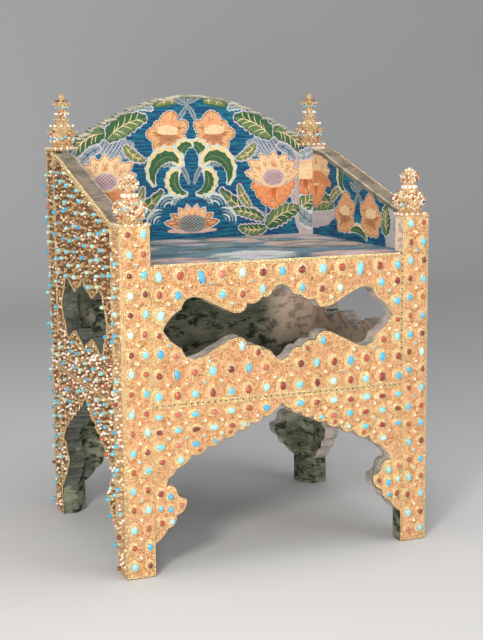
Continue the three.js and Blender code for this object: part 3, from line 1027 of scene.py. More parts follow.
def post_stones(top, outer, inward):
    """outer is the outer edge along the face and inward the way from it into the face."""
    stones = []
    count = int((top - POST_FIRST - 9) / POST_ROW) + 1
    for row in range(count):
        z = POST_FIRST + row * POST_ROW
        for column, away in enumerate(COLUMNS):
            kind = turns(row + column)
            size = (5.0, 6.6) if kind == T else (4.8, 5.6)
            stones.append((outer + inward * away, z, *size, kind))
        if row < count - 1:
            stones.append((outer + inward * 28, z + POST_ROW / 2, 2.3, 2.6, rng.choice([T, P, P])))
    return stones


CLOSER = 1.9  # the rows are this much closer upward than along
LOW_FIELD = 400  # under this height the pearls are larger and there are more of them


def bristle(outline, holes, jewel_pitch=30.0, pin_pitch=8.8, edge=6.0, garnets=0.10, size=1.0):
    """Round stones on cups in loose rows, with low beads and pearls all between."""
    narrow = [p / (CLOSER, 1) for p in outline]
    jewels = scatter(narrow, jewel_pitch, 0.26) * (CLOSER, 1)
    jewels = jewels[room(jewels, outline, holes) > edge + 2]
    pins = []
    for u, z in jewels:
        kind = G if rng.random() < garnets else T
        pins.append((u, z, rng.uniform(3.8, 5.2) * size, kind))
    count = len(pins)
    places = scatter(narrow, pin_pitch, 0.40) * (CLOSER, 1)
    places = places[room(places, outline, holes) > edge - 1.5]
    for u, z in places:
        if any(math.hypot(u - p[0], z - p[1]) < p[2] + 4.5 for p in pins[:count]):
            continue
        low = z < LOW_FIELD
        radius = rng.choice([2.6, 3.0, 3.5] if low else [1.7, 2.2, 2.6, 3.2]) * size
        pins.append((u, z, radius, P if rng.random() < (0.5 if low else 0.22) else "bead"))
    return pins


def strip(face, sx, sy, top):
    """The flat strip of a post on one face: its outline, and where its outer edge is."""
    along = {"front": sx * HALF_W, "back": -sx * HALF_W, "right": sy * HALF_D, "left": -sy * HALF_D}[face]
    inward = -math.copysign(1, along)
    ends = sorted((along, along + inward * POST))
    loop = [(ends[0], FLOOR_LIFT), (ends[1], FLOOR_LIFT), (ends[1], top), (ends[0], top)]
    return [np.array(p, float) for p in loop], along, inward


def dress_post(corner, sx, sy, top):
    metals, wires, heaps = [], [], {kind: [] for kind in STONE_FINISH}
    for face in ("front" if sy < 0 else "back", "left" if sx < 0 else "right"):
        outline, outer, inward = strip(face, sx, sy, top)
        metal, wire, piles = Pile(), Pile(), new_piles()
        beaten_sheet(metal, outline)
        flat = face == "front"
        stones = spaced(post_stones(top, outer, inward), outline) if flat else []
        near = face == "left"
        edge, size = (6.5, 1.0) if near else (15.0, 0.6)
        pins = [] if flat else bristle(outline, [], 24.0, 8.6, edge, 0.3 if sy < 0 else 0.1, size)
        fill_relief(metal, outline, [], stones, *(RELIEF if flat else SIDE_RELIEF))
        wire_edges(wire, outline)
        set_stones(wire, stones, piles)
        set_pins(wire, pins, piles)
        metals.append((metal, face))
        wires.append((wire, face))
        for kind, pile in piles.items():
            heaps[kind].append((pile, face))
    name = f"post_gold_{corner}"
    # Painted shade: the back left post takes the left side's darker gold.
    gold = SHEET_GOLD if sy < 0 else SHADED_SIDE_GOLD if sx < 0 else BACK_GOLD
    show_piles(name, metals, gold, [f"post_sheet_{corner}"])
    show_piles(name + "_wires", wires, POLISHED)
    show_stones(name, heaps)


CORNERS = [("front_left", -1, -1, FRONT_POST_TOP), ("front_right", 1, -1, FRONT_POST_TOP),
           ("back_left", -1, 1, BACK_POST_TOP), ("back_right", 1, 1, BACK_POST_TOP)]
for corner in CORNERS:
    dress_post(*corner)
print("posts", len(CORNERS), "triangles so far", sum(made.values()))

# %% [markdown]
# ## Dressing the sides and the back
#
# The sides are one field of pearls, gold beads and small turquoises, thick enough to hide most of the
# sheet. The stones of the right side are smaller and lower, and the back has the same pattern spread
# wider.

# %% Dress the sides and the back
SIDE_HOLE = cartouche(*SIDE_OPENING)


def side_panel(face):
    loop = panel_loop(BETWEEN_Y, arm_top(BETWEEN_Y, 0))
    return mirrored(loop) if face == "right" else loop


# Painted shade: the left side takes the darker side gold; the right side takes the back's gold.
for face, size, gold in (("left", 1.0, SHADED_SIDE_GOLD), ("right", 0.7, BACK_GOLD)):
    outline = side_panel(face)
    pins = bristle(outline, [SIDE_HOLE], size=size)
    dress(f"side_panel_gold_{face}", face, outline, [SIDE_HOLE], [], gold, pins, SIDE_RELIEF)
    outline = apron_loop(*SIDE_SPAN)
    pins = bristle(outline, [], 26.0, size=size)
    dress(f"side_apron_gold_{face}", face, outline, [], [], gold, pins, SIDE_RELIEF)

BACK_PANEL = panel_loop(BETWEEN_X, back_top(BETWEEN_X))
for part, outline in (("panel", BACK_PANEL), ("apron", FRONT_APRON)):
    pins = bristle(outline, [], 42.0, 18.0, 9.0)
    dress(f"back_{part}_gold", "back", outline, [], [], BACK_GOLD, pins, BACK_RELIEF)
print("triangles so far", sum(made.values()))

# %% [markdown]
# ## Drawing the silk
#
# The silk is brocade: a blue ground with large flowers and leaves, mirrored about an axis. Each part
# of a flower is a closed outline in a flat colour, and they are laid over one another as a painter
# would. All the outlines go into one triangulation of the panel, so that the cloth stays one skin
# and each triangle takes the colour of the last outline that holds it.

# %% Name the threads and draw their shapes
def paint(red, green, blue):
    """A colour given in the usual 0 to 255, turned into shares of light."""
    return tuple((c / 255) ** 2.2 for c in (red, green, blue))


BLUE, TEAL = paint(0, 66, 108), paint(0, 122, 142)
PALE, LILAC, MIST = paint(196, 208, 204), paint(200, 188, 200), paint(138, 150, 158)
CREAM, SAND = paint(238, 204, 158), paint(230, 208, 154)
PEACH, ORANGE, RUST = paint(236, 182, 138), paint(214, 138, 92), paint(168, 96, 58)
LEAF, MOSS, DARK = paint(54, 96, 64), paint(112, 130, 76), paint(24, 54, 48)
ROSE, DOVE = paint(214, 168, 152), paint(184, 176, 178)


def along(start, angle, distance):
    return np.array((start[0] + distance * math.cos(angle), start[1] + distance * math.sin(angle)))


def spine(start, end, bend, steps=9):
    """A bowed line; a positive bend lies to the left of the way."""
    start, end = np.array(start, float), np.array(end, float)
    way = end - start
    left = np.array((-way[1], way[0]))
    return [start + way * t + left * bend * 4 * t * (1 - t) for t in np.linspace(0, 1, steps)]


def toothed(half, t, depth):
    """Teeth along an outline: its widths are by turns a little more and a little less."""
    return half * (1 + depth * np.where(np.arange(len(t)) % 2, 1, -1) * (t > 0.1) * (t < 0.95))


def blade(line, width, grow=0.0, full=0.85, saw=0, left=1.0, right=1.0):
    """An outline round a spine: pointed at both ends, widest a little before the middle."""
    line = np.array(line, float)
    if grow:
        first, last = line[0] - line[1], line[-1] - line[-2]
        line = np.vstack((line[0] + first / np.linalg.norm(first) * grow, line,
                          line[-1] + last / np.linalg.norm(last) * grow))
    side = left_of(unit(np.gradient(line, axis=0)))
    t = np.linspace(0, 1, len(line))
    half = width / 2 * np.sin(math.pi * t ** full) ** 0.75 + grow
    half[0] = half[-1] = 0
    if saw:
        half = toothed(half, t, 0.11)
    near = line + side * (half * left)[:, None]
    far = line - side * (half * right)[:, None]
    return [*near, *far[-2:0:-1]]


def pointed(line, width, grow=0.0, saw=0):
    """A petal: it widens quickly from its foot and narrows slowly to a sharp tip."""
    line = np.array(line, float)
    last = line[-1] - line[-2]
    if grow:
        line = np.vstack((line, line[-1] + last / np.linalg.norm(last) * grow * 1.6))
    side = left_of(unit(np.gradient(line, axis=0)))
    t = np.linspace(0, 1, len(line))
    half = width / 2 * np.where(t < 0.4, (t / 0.4) ** 0.5, 1 - np.clip((t - 0.4) / 0.6, 0, 1) ** 1.5) + grow
    if saw:
        half = toothed(half, t, 0.10)
    half[0], half[-1] = grow / 2, 0
    return [*(line + side * half[:, None]), *(line - side * half[:, None])[-2::-1]]


def rounded(line, width, grow=0.0, saw=0):
    return blade(line, width, grow, 1.2, saw)


def oval(centre, a, b, turn=0.0, lobes=0, depth=0.0, steps=22):
    loop = []
    for i in range(steps):
        t = 2 * math.pi * i / steps
        r = 1 + depth * abs(math.sin(lobes * t / 2)) if lobes else 1
        x, y = a * r * math.cos(t), b * r * math.sin(t)
        loop.append(np.array((centre[0] + x * math.cos(turn) - y * math.sin(turn),
                              centre[1] + x * math.sin(turn) + y * math.cos(turn))))
    return loop


def thread(line, width):
    """A thin stroke of one thickness, tapered to its ends."""
    return blade(line, width, 0, 1.0)


# across the petal, from and to along it, and whether the stroke is light
PETAL_STROKES = ((-0.30, 0.40, 0.66, False), (-0.15, 0.34, 0.84, False), (-0.05, 0.62, 0.90, True),
                 (0.06, 0.50, 0.78, False), (0.17, 0.36, 0.80, False), (0.27, 0.50, 0.74, True))
print("points in a leaf", len(blade(spine((0, 0), (0, 60), 0.1, 13), 30, saw=1)))

# %% [markdown]
# A drawing is a list of outlines with their colours. Its methods are the weaver's motifs: veined
# leaf, curled leaf with a scalloped edge, lily, great flower, latticed dome and spray.

# %% Draw the motifs
class Drawing:
    """Outlines and colours in painting order, some of them repeated in a mirror."""

    def __init__(self):
        self.shapes = []

    def add(self, loop, colour):
        self.shapes.append((np.array(loop, float), colour))

    def mirror(self, axis, part):
        """Draws a part twice, the second time mirrored about an upright axis."""
        first = len(self.shapes)
        part(self)
        for loop, colour in self.shapes[first:]:
            self.add(np.column_stack((2 * axis - loop[:, 0], loop[:, 1]))[::-1], colour)

    def leaf(self, base, tip, width, bend=0.1, body=LEAF, edge=LILAC, vein=paint(176, 192, 132), veins=4):
        line = spine(base, tip, bend, 13)
        self.add(blade(line, width, 3.6, saw=1), edge)
        self.add(blade(line, width, 0.4, saw=1), body)
        if body is LEAF:
            self.add(blade(line, width, 0.0, saw=1, right=0.0), paint(98, 124, 82))
        way = np.array(tip, float) - base
        angle, length = math.atan2(way[1], way[0]), np.linalg.norm(way)
        for k in range(veins):
            root = line[2 + k * 9 // max(veins, 1)]
            reach = width * 0.5 * math.sin(math.pi * (0.25 + 0.6 * k / max(veins, 1)))
            for side in (-1, 1):
                self.add(thread(spine(root, along(root, angle + side * 0.75, reach + length * 0.05),
                                      -side * 0.12, 5), 1.9), vein)
        self.add(thread(line[:-1], 2.2), vein)

    def curl(self, points, width, side=1):
        """A leaf that hangs over, with a cream scalloped edge on its outer side."""
        knots = np.array(points, float)
        t = np.linspace(0, 1, len(knots))
        smooth = np.polynomial.polynomial.polyfit(t, knots, 3)
        line = np.array([np.polynomial.polynomial.polyval(x, smooth) for x in np.linspace(0, 1, 17)])
        outer, inner = (1.0, 0.5) if side > 0 else (0.5, 1.0)
        self.add(blade(line, width, 2.6, 0.8, 1, outer, inner), PALE)
        self.add(blade(line, width, 0, 0.8, 1, outer, inner), SAND)
        shift = (0.60, 0.50) if side > 0 else (0.50, 0.60)
        self.add(blade(line[1:], width, 0, 0.8, 1, *shift), LEAF)
        self.add(thread(line[2:-3], 2.6), MOSS)

    def petal(self, centre, degrees, length, width, tip=PEACH, heart=ORANGE, shape=pointed):
        angle = math.radians(degrees)
        line = spine(centre, along(centre, angle, length), 0.0, 9)
        self.add(shape(line, width), tip)
        self.add(pointed(line[:6], width * 0.42), heart)
        for lean, low, high, light in PETAL_STROKES:
            reach = lean * width / length * 1.6
            root = along(centre, angle + reach, length * low)
            end = along(centre, angle + reach * 0.5, length * high)
            self.add(thread(spine(root, end, 0.04, 5), 1.9), SAND if light else heart)

    def flower(self, centre, petals, tip=PEACH, heart=ORANGE, edge=LILAC, shape=pointed):
        """petals are (degrees, length, width); the pale edges lie beneath all the petals."""
        for grow, colour in ((3.4, edge), (1.0, heart)):
            for degrees, length, width in petals:
                line = spine(centre, along(centre, math.radians(degrees), length), 0.0, 17)
                self.add(shape(line, width, grow, 1), colour)
        for degrees, length, width in petals:
            self.petal(centre, degrees, length, width, tip, heart, shape)

    def lattice(self, centre, a, b, ground, line, pitch):
        """An oval crossed by two sets of leaning threads."""
        self.add(oval(centre, a, b), ground)
        count = int(a / pitch)
        for lean in (0.7, -0.7):
            across = np.array((math.cos(lean), math.sin(lean)))
            way = np.array((-across[1], across[0]))
            for k in range(-count, count + 1):
                share = k / (count + 0.8)
                half = way * math.sqrt(1 - share * share) * 0.93
                ends = [(across * share + end) * (a, b) + centre for end in (-half, half)]
                self.add(thread(spine(*ends, 0.0, 5), 1.7), line)

    def lily(self, centre):
        petals = [(150, 50, 30), (202, 43, 28), (240, 40, 28), (275, 38, 30), (314, 47, 30), (2, 50, 30),
                  (40, 40, 26), (98, 50, 44)]
        self.flower(centre, petals, paint(222, 164, 116), paint(182, 110, 64), PALE, rounded)
        self.add(oval((centre[0] - 3, centre[1] + 20), 17, 13, 0, 4, 0.15), paint(230, 160, 112))
        self.add(oval((centre[0] + 2, centre[1] + 9), 22, 10, 0.05, 6, 0.2), CREAM)
        self.lattice((centre[0] + 2, centre[1] - 9), 22, 9, paint(190, 150, 112), RUST, 6.0)

    def great_flower(self, centre, lean=1):
        """lean is -1 where the flower is turned the other way."""
        low = [(-20, 56, 30), (-160, 56, 30), (-46, 56, 40), (-134, 56, 40), (-70, 62, 42), (-110, 62, 42),
               (-90, 68, 40)]
        high = [(12, 66, 34), (168, 68, 34), (34, 64, 38), (146, 72, 38), (60, 60, 38), (120, 62, 38),
                (90, 58, 40)]
        for petals, tip, heart in ((low, paint(232, 150, 98), paint(206, 110, 58)), (high, CREAM, ORANGE)):
            turned = [(d if lean > 0 else 180 - d, n, w) for d, n, w in petals]
            self.flower(centre, turned, tip, heart, PALE, rounded if petals is low else pointed)
        self.add(oval((centre[0], centre[1] + 2), 31, 22, 0, 9, 0.12), CREAM)
        self.lattice((centre[0], centre[1] + 2), 26, 18, paint(200, 180, 188), paint(158, 112, 110), 7.0)

    def spray(self, centre, scale=1.0):
        for degrees, length in ((62, 30), (118, 30), (28, 36), (152, 36), (-58, 38), (-122, 38), (90, 22)):
            tip = along(centre, math.radians(degrees), length * scale)
            self.add(blade(spine(centre, tip, 0.06, 9), 9 * scale, 1.5, 1.4, 1), MIST)
            self.add(thread(spine(centre, tip, 0.06, 7), 2.6 * scale), paint(60, 96, 70))

    def plume(self, centre, radius, start, sweep, rings=3):
        """Pale curls, one inside the other, that open to one side."""
        for k in range(rings):
            r = radius * (1 - 0.27 * k)
            line = [along(centre, math.radians(start + sweep * t), r) for t in np.linspace(0, 1, 12)]
            self.add(blade(line, 6.4 - k, 0, 1.0, 1), PALE if k % 2 == 0 else MIST)

    def hatch(self, centre, a, b, slope, pitch=7.0, colour=MIST):
        count = int(a / pitch)
        for k in range(-count, count + 1):
            reach = b * math.sqrt(max(0.05, 1 - (k / (count + 1)) ** 2))
            base = np.array((centre[0] + k * pitch, centre[1]))
            way = np.array((math.cos(slope), math.sin(slope))) * reach
            self.add(thread(spine(base - way, base + way, 0.04, 5), 2.4), colour)


print("motifs", [name for name in vars(Drawing) if not name.startswith("_")])

# %% [markdown]
# The back shows one whole repeat, mirrored about its middle. The top edge cuts the topmost sprays.

# %% Compose the back
def back_side(d):
    """The right half of the repeat."""
    d.add(oval((272, 690), 34, 120, 0.1, 9, 0.1, 40), DOVE)
    d.add(oval((172, 786), 44, 24, 0.2, 9, 0.15, 36), MIST)
    d.hatch((172, 786), 40, 24, 0.9, 7, BLUE)
    d.hatch((176, 784), 40, 22, 2.2, 9, LILAC)
    d.add(blade(spine((250, 700), (200, 668), 0.1), 22), LILAC)
    d.leaf((150, 872), (88, 866), 16, -0.1, MIST, PALE, PALE, 2)
    d.leaf((30, 884), (80, 874), 17, 0.1, MOSS, LEAF, CREAM, 2)
    d.leaf((192, 802), (102, 848), 44, -0.10, LEAF, LILAC, SAND, 5)
    d.leaf((196, 816), (266, 768), 42, 0.16, LEAF, LILAC, CREAM, 5)
    d.leaf((152, 790), (106, 757), 20, 0.12, MOSS, LILAC, CREAM, 3)
    d.leaf((206, 786), (250, 752), 18, 0.1, MIST, LILAC, BLUE, 2)
    for base, tip, bend in (((184, 600), (178, 662), 0.05), ((176, 600), (172, 640), -0.05)):
        d.add(thread(spine(base, tip, bend), 5), MIST)
    d.leaf((168, 628), (68, 692), 26, 0.08, LEAF, LILAC, SAND, 4)
    d.leaf((170, 620), (92, 642), 22, -0.08, LEAF, LILAC, SAND, 4)
    d.leaf((140, 650), (112, 700), 16, 0.1, MOSS, LILAC, CREAM, 2)
    d.leaf((176, 602), (112, 606), 24, 0.1, LEAF, LILAC, SAND, 4)
    d.leaf((180, 604), (262, 642), 40, 0.10, LEAF, LILAC, SAND, 5)
    d.great_flower((196, 712))
    d.lily((52, 812))
    for base, tip, bend in (((6, 704), (52, 768), 0.10), ((22, 744), (66, 742), 0.16),
                            ((28, 716), (44, 764), -0.2)):
        d.add(blade(spine(base, tip, bend), 11, 1, 1.0, 1), MIST)
        d.add(thread(spine(base, tip, bend), 3), paint(70, 100, 90))
    d.curl([(22, 748), (26, 768), (14, 786), (-2, 784)], 40, -1)
    d.curl([(26, 740), (54, 764), (84, 744), (84, 702)], 46, 1)
    d.curl([(26, 734), (40, 716), (34, 694), (10, 684)], 40, 1)


def back_drawing():
    d = Drawing()
    d.mirror(0, back_side)
    d.spray((-10, 876))
    for side in (-1, 1):
        d.plume((side * 20, 656), 28, 90 - side * 10, -80 * side, 2)
        d.plume((side * 52, 652), 29, 150 if side > 0 else 30, -150 * side, 3)
        d.plume((side * 76, 622), 28, 110 if side > 0 else 70, -130 * side, 4)
    d.add(oval((0, 602), 56, 6, 0, 8, 0.1), ROSE)
    low = paint(206, 130, 84)
    d.flower((0, 612), [(172, 62, 22), (8, 62, 22), (152, 54, 22), (28, 54, 22)], low, RUST, PALE)
    d.flower((0, 612), [(128, 48, 24), (52, 48, 24), (104, 46, 24), (76, 46, 24)], PEACH, ORANGE, PALE)
    d.lattice((0, 617), 34, 20, paint(150, 142, 130), DARK, 8.0)
    return d


def arm_drawing():
    """The arm's repeat, measured towards the front; its back edge cuts a great flower."""
    d = Drawing()
    d.add(oval((-215, 640), 120, 38, 0, 12, 0.1, 40), DOVE)
    d.add(oval((200, 620), 62, 60, 0, 9, 0.1, 36), DOVE)
    d.hatch((-200, 625), 80, 30, 0.6, 9, LILAC)
    d.leaf((-95, 655), (-215, 640), 36, -0.1, LEAF, PALE, CREAM, 5)
    d.leaf((-110, 665), (-62, 690), 20, 0.1, MOSS, LILAC, CREAM, 2)
    d.great_flower((-185, 716), -1)
    d.add(blade(spine((-255, 738), (-150, 728), -0.10), 44, 1), PEACH)
    d.add(blade(spine((-245, 744), (-165, 736), -0.10), 24, 1), CREAM)
    d.add(blade(spine((-240, 700), (-110, 698), 0.12), 26, 1), ORANGE)
    d.spray((18, 690), 1.1)
    d.curl([(-22, 748), (-52, 742), (-62, 712), (-40, 690)], 40, -1)
    d.curl([(-20, 602), (10, 610), (40, 604), (60, 590)], 26, 1)
    d.leaf((60, 704), (92, 694), 20, 0.1, MOSS, LEAF, CREAM, 2)
    d.leaf((100, 690), (150, 676), 22, 0.1, MIST, LILAC, PALE, 3)
    d.leaf((150, 610), (146, 668), 40, 0.1, LEAF, PALE, CREAM, 4)
    d.leaf((205, 600), (186, 655), 30, 0.1, MIST, LILAC, PALE, 3)
    d.mirror(18, lambda part: part.lily((76, 638)))
    return d


def corner_drawing():
    """The strip over the inside of a back post: the other half of the flower, then a leaf."""
    d = Drawing()
    d.add([(-300, 560), (300, 560), (300, 690), (-300, 690)], DOVE)
    for k in range(6):
        d.hatch((k * 34 - 90, 640), 20, 24, 0.8, 6, LILAC)
    d.leaf((-30, 612), (26, 668), 40, 0.12, LEAF, PALE, CREAM, 5)
    d.leaf((26, 608), (-26, 648), 30, 0.1, MIST, PALE, LEAF, 3)
    high = [(180, 60, 38), (0, 60, 38), (150, 52, 38), (30, 52, 38), (120, 44, 38), (60, 44, 38),
            (90, 40, 38)]
    low = [(-20, 56, 34), (200, 56, 34), (-50, 44, 34), (230, 44, 34), (270, 38, 34)]
    d.flower((0, 718), high, PEACH, ORANGE, LILAC, rounded)
    d.flower((0, 712), low, ORANGE, RUST, LILAC, rounded)
    d.add(oval((0, 726), 30, 16, 0.1, 7, 0.2), CREAM)
    d.leaf((30, 782), (-30, 760), 22, 0.1, MIST, LILAC, PALE, 3)
    return d


def seat_drawing():
    """The same silk seen flat, worn paler by use: (across, back to front)."""
    d = Drawing()
    pale = paint(196, 170, 152)
    for centre, a, b, turn, colour in (
        ((205, 190), 88, 62, 0.3, pale), ((175, -30), 92, 74, -0.2, pale), ((-30, -195), 82, 66, 0.5, PALE),
        ((-200, -225), 66, 40, 0.1, ROSE), ((165, -225), 82, 34, 0.1, ROSE), ((60, 110), 42, 58, 0.6, ROSE),
        ((-70, 110), 54, 66, 0.4, DOVE), ((-210, 60), 50, 80, 0.2, DOVE), ((250, 90), 44, 60, 0.2, DOVE),
        ((-190, 200), 60, 44, 0.2, ROSE),
    ):
        d.add(oval(centre, a + 8, b + 7, turn, 9, 0.16, 44), MIST)
        d.add(oval(centre, a, b, turn, 9, 0.16, 44), colour)
        d.add(oval(centre, a * 0.45, b * 0.4, turn, 7, 0.2, 28), LILAC)
    for base, tip, width in (
        ((-60, -60), (10, 20), 40), ((-130, -110), (-60, -30), 38), ((80, -110), (20, -60), 34),
        ((20, 40), (-30, 100), 30), ((110, 60), (150, 130), 34), ((-150, 140), (-90, 200), 36),
        ((230, -150), (280, -80), 30), ((90, 200), (30, 250), 34), ((-250, -80), (-200, -10), 34),
        ((-120, 20), (-170, 80), 34), ((260, -10), (220, 50), 26),
    ):
        d.leaf(base, tip, width, 0.12, paint(92, 118, 100), MIST, DOVE, 4)
    return d


print("shapes on the back", len(back_drawing().shapes))

# %% [markdown]
# Cloth is woven of separate threads: the ground has long streaks of teal and dark blue along the weft,
# and the flowers are mottled and worn in small flecks. That is finer than the outlines, so the finish
# adds it over the drawn colours. The ground is known by having hardly any red in it.

# %% Weave the finish
def silk_finish(name, weft, worn, blots, ground):
    """weft stretches the streaks; worn fades the colours; blots darkens patches.

    ground is how much red the ground may hold: with more, a thread is part of a flower.
    """
    f = Finish(name)
    drawn = f.attribute("silk", "Color")
    red = f.make("SeparateColor", None, {0: drawn}, "Red")
    bare = 1 - f.step(red, ground, ground * 1.5)
    streaks = f.noise(9.0, 4.0, 0.6, f.stretched(weft))
    fine = f.noise(21.0, 3.0, 0.65, f.stretched(weft))
    threads = f.noise(330.0, 2.0, 0.7)
    tufts = f.noise(150.0, 3.0, 0.7)
    big = f.noise(9.0, 4.0, 0.6, f.stretched((0.8, 1.8, 1.0)))
    mottle = f.noise(85.0, 4.0, 0.75, f.stretched((1.0, 1.0, 1.5)))
    brighter = f.mix(f.step(streaks, 0.45, 0.58) * bare * 0.80, drawn, TEAL, "LIGHTEN")
    dark_streak = f.step(fine, 0.48, 0.62) * (bare * 0.45 + 0.15)
    darker = f.mix(dark_streak, brighter, (0.38, 0.44, 0.48), "MULTIPLY")
    shaded = f.mix(f.step(mottle, 0.50, 0.60) * (0.5 - bare * 0.4), darker, (0.62, 0.54, 0.50), "MULTIPLY")
    broken = f.mix(f.step(tufts, 0.54, 0.66) * 0.07, shaded, paint(150, 160, 150))
    flecked = f.mix(f.step(threads, 0.58, 0.70) * 0.08, broken, paint(214, 206, 186))
    faded = f.mix(worn, flecked, DOVE)
    patched = f.mix(f.step(big, 0.47, 0.60) * blots, faded, paint(24, 64, 72))
    height = f.step(f.noise(40.0, 1.0, 0.5, f.stretched(weft)), 0.3, 0.7) + threads * 0.5
    return f.done(Base_Color=patched, Roughness=0.62 - streaks * 0.15, Specular_IOR_Level=0.12,
                  Normal=f.bump(height, 0.0007, 0.6))


SILK_BACK = silk_finish("silk of the back", (2.0, 2.0, 30.0), 0.02, 0.0, 0.009)
SILK_SEAT = silk_finish("silk of the seat", (1.6, 12.0, 1.0), 0.18, 0.6, 0.12)

# %% [markdown]
# ## Hanging the silk
#
# A lining is one skin of silk with its edge turned back against the wood. The drawing is clipped by
# the panel's own outline: only triangles inside it are kept.

# %% Cut and hang the linings
CLOTH = 1.2  # how thick a lining is


def declare(piece, outline, holes=()):
    """Works out how large the cloth is when it is cut flat, and keeps nothing of it."""
    area = (abs(signed_area(outline)) - sum(abs(signed_area(hole)) for hole in holes)) * MM * MM


def drawn_cloth(outline, drawing, ground=BLUE, extra=()):
    """Returns points, triangles and one colour for each triangle."""
    loops = [outline] + [loop for loop, _ in drawing.shapes]
    points, triangles, owners = triangulate(loops, extra)
    keep = np.array([0 in own for own in owners])
    colours = [drawing.shapes[max(own) - 1][1] if max(own) else ground
               for own, kept in zip(owners, keep) if kept]
    return points, triangles[keep], np.array(colours)


def hang_silk(name, outline, drawing, place, node, finish=SILK_BACK, thick=CLOTH, surface=None,
              extra=(), ground=BLUE):
    """place turns flat points and a height over the face into the throne's own axes."""
    points, triangles, colours = drawn_cloth(outline, drawing, ground, extra)
    used = np.unique(triangles)
    number = np.full(len(points), -1)
    number[used] = np.arange(len(used))
    points, triangles = points[used], number[triangles]
    depth = np.zeros(len(points)) if surface is None else surface(points)
    rim = np.array(outline, float)
    count = len(rim)
    lows = place(rim, np.full(count, -thick))
    tops = place(rim, np.zeros(count) if surface is None else surface(rim))
    quads = skirt(count) + len(points)
    mesh = build_mesh(name, np.concatenate((place(points, depth), tops, lows)) * MM, [triangles, quads])
    dyed = mesh.color_attributes.new("silk", "FLOAT_COLOR", "CORNER")
    rgba = np.ones((len(triangles) * 3 + count * 4, 4), np.float32)
    rgba[:len(triangles) * 3, :3] = np.repeat(colours, 3, 0)
    rgba[len(triangles) * 3:, :3] = DOVE
    dyed.data.foreach_set("color", rgba.ravel())
    declare(show(name, mesh, finish, [node], smooth=surface is not None), outline)


# %% [markdown]
# Each panel has its own place: a rule that turns flat points, and their height over the silk's face,
# into the throne's own axes. The strips over the posts stand across the corners.

# %% Say where each panel stands
LINING_LOW = millimetres("back_lining")[0][2]
BACK_FACE = millimetres("back_lining")[0][1]
ARM_FACE = millimetres("arm_lining_right")[0][0]
STRIP_LOW, STRIP_HIGH = millimetres("corner_lining_back_right")


def on_back(points, height):
    return np.column_stack((points[:, 0], BACK_FACE - height, points[:, 1]))


def on_front_inside(points, height):
    return np.column_stack((-points[:, 0], -BACK_FACE + height, points[:, 1]))


def on_arm(side):
    """side is 1 for the right arm; points are (towards the front, up)."""
    def place(points, height):
        return np.column_stack((side * (ARM_FACE - height), -points[:, 0], points[:, 1]))
    return place


def on_strip(sx, sy):
    """Across a corner, seen from inside."""
    middle = np.array((sx * (STRIP_LOW[0] + STRIP_HIGH[0]), sy * (STRIP_LOW[1] + STRIP_HIGH[1]))) / 2
    middle -= np.array((sx, sy)) * CLOTH / 2 * math.sqrt(0.5)
    right = np.array((sy, -sx)) * math.sqrt(0.5)
    inward = np.array((-sx, -sy)) * math.sqrt(0.5)

    def place(points, height):
        flat = middle + points[:, :1] * right + np.array(height)[:, None] * inward
        return np.column_stack((flat, points[:, 1]))
    return place


def lie_flat(points, height):
    return np.column_stack((points, SEAT_TOP + height))


print("back silk at", round(BACK_FACE, 1), "arm silk at", round(ARM_FACE, 1))

# %% [markdown]
# ## The linings above the seat

# %% Hang the back, the arms and the corners
STRIP_HALF = 15.9  # half the width of a strip over a post
EDGING_FOLD = 10.3  # how far the edging comes down over an arm
SIDES = (("right", 1), ("left", -1))


def strip_outline(low, top):
    return [(-STRIP_HALF, low), (STRIP_HALF, low), (STRIP_HALF, top), (-STRIP_HALF, top)]


def line_above():
    outline = anticlockwise([(-BETWEEN_X, LINING_LOW), (BETWEEN_X, LINING_LOW), *back_top(BETWEEN_X)])
    hang_silk("silk_back", outline, back_drawing(), on_back, "back_lining")
    for side, sx in SIDES:
        outline = [(BETWEEN_Y, LINING_LOW), *arm_top(BETWEEN_Y, EDGING_FOLD), (-BETWEEN_Y, LINING_LOW)]
        hang_silk(f"silk_arm_{side}", anticlockwise(outline), arm_drawing(), on_arm(sx), f"arm_lining_{side}")
    for corner, sx, sy, top in CORNERS:
        hang_silk(f"silk_corner_{corner}", strip_outline(LINING_LOW, top), corner_drawing(), on_strip(sx, sy),
                  f"corner_lining_{corner}")


line_above()

# %% [markdown]
# ## The seat
#
# The silk of the seat is stretched over the boards and a thin pad. It rises a little to the middle
# and sags between its tacks, and a narrow braid covers its front edge.

# %% Stretch the seat cloth
SEAT_CROWN = 2.6  # how far the middle stands above the edges
SEAT_THICK = 3.0
SEAT_BLUE = paint(60, 110, 128)


def seat_outline():
    clear = CLOTH + 2 * GAP
    side, back = BOARD_IN_X - clear, BOARD_IN_Y - clear
    cut = POST_IN_X + BOARD_IN_Y - clear * math.sqrt(2)
    half = [(BETWEEN_X, -HALF_D), (BETWEEN_X, BETWEEN_X - cut), (side, side - cut), (side, cut - side),
            (cut - back, back)]
    return [np.array(p, float) for p in half] + mirrored(half)


def seat_surface(points):
    x, y = points[:, 0], points[:, 1]
    edge = np.clip((1 - np.abs(x) / 284) * (1 - np.abs(y + 16) / 246) * 5, 0, 1)
    dips = 0.7 * np.sin(x / 41 + 0.8) * np.sin(y / 33) + 0.5 * np.sin(x / 17 + y / 29)
    return np.clip(edge * (SEAT_CROWN + dips), 0, None)


def cover_seat():
    outline = seat_outline()
    grid = scatter(outline, 15.0, 0.2)
    grid = grid[room(grid, outline) > 5]
    hang_silk("silk_seat", outline, seat_drawing(), lie_flat, "seat_cover", SILK_SEAT,
              SEAT_THICK, seat_surface, grid, SEAT_BLUE)


cover_seat()
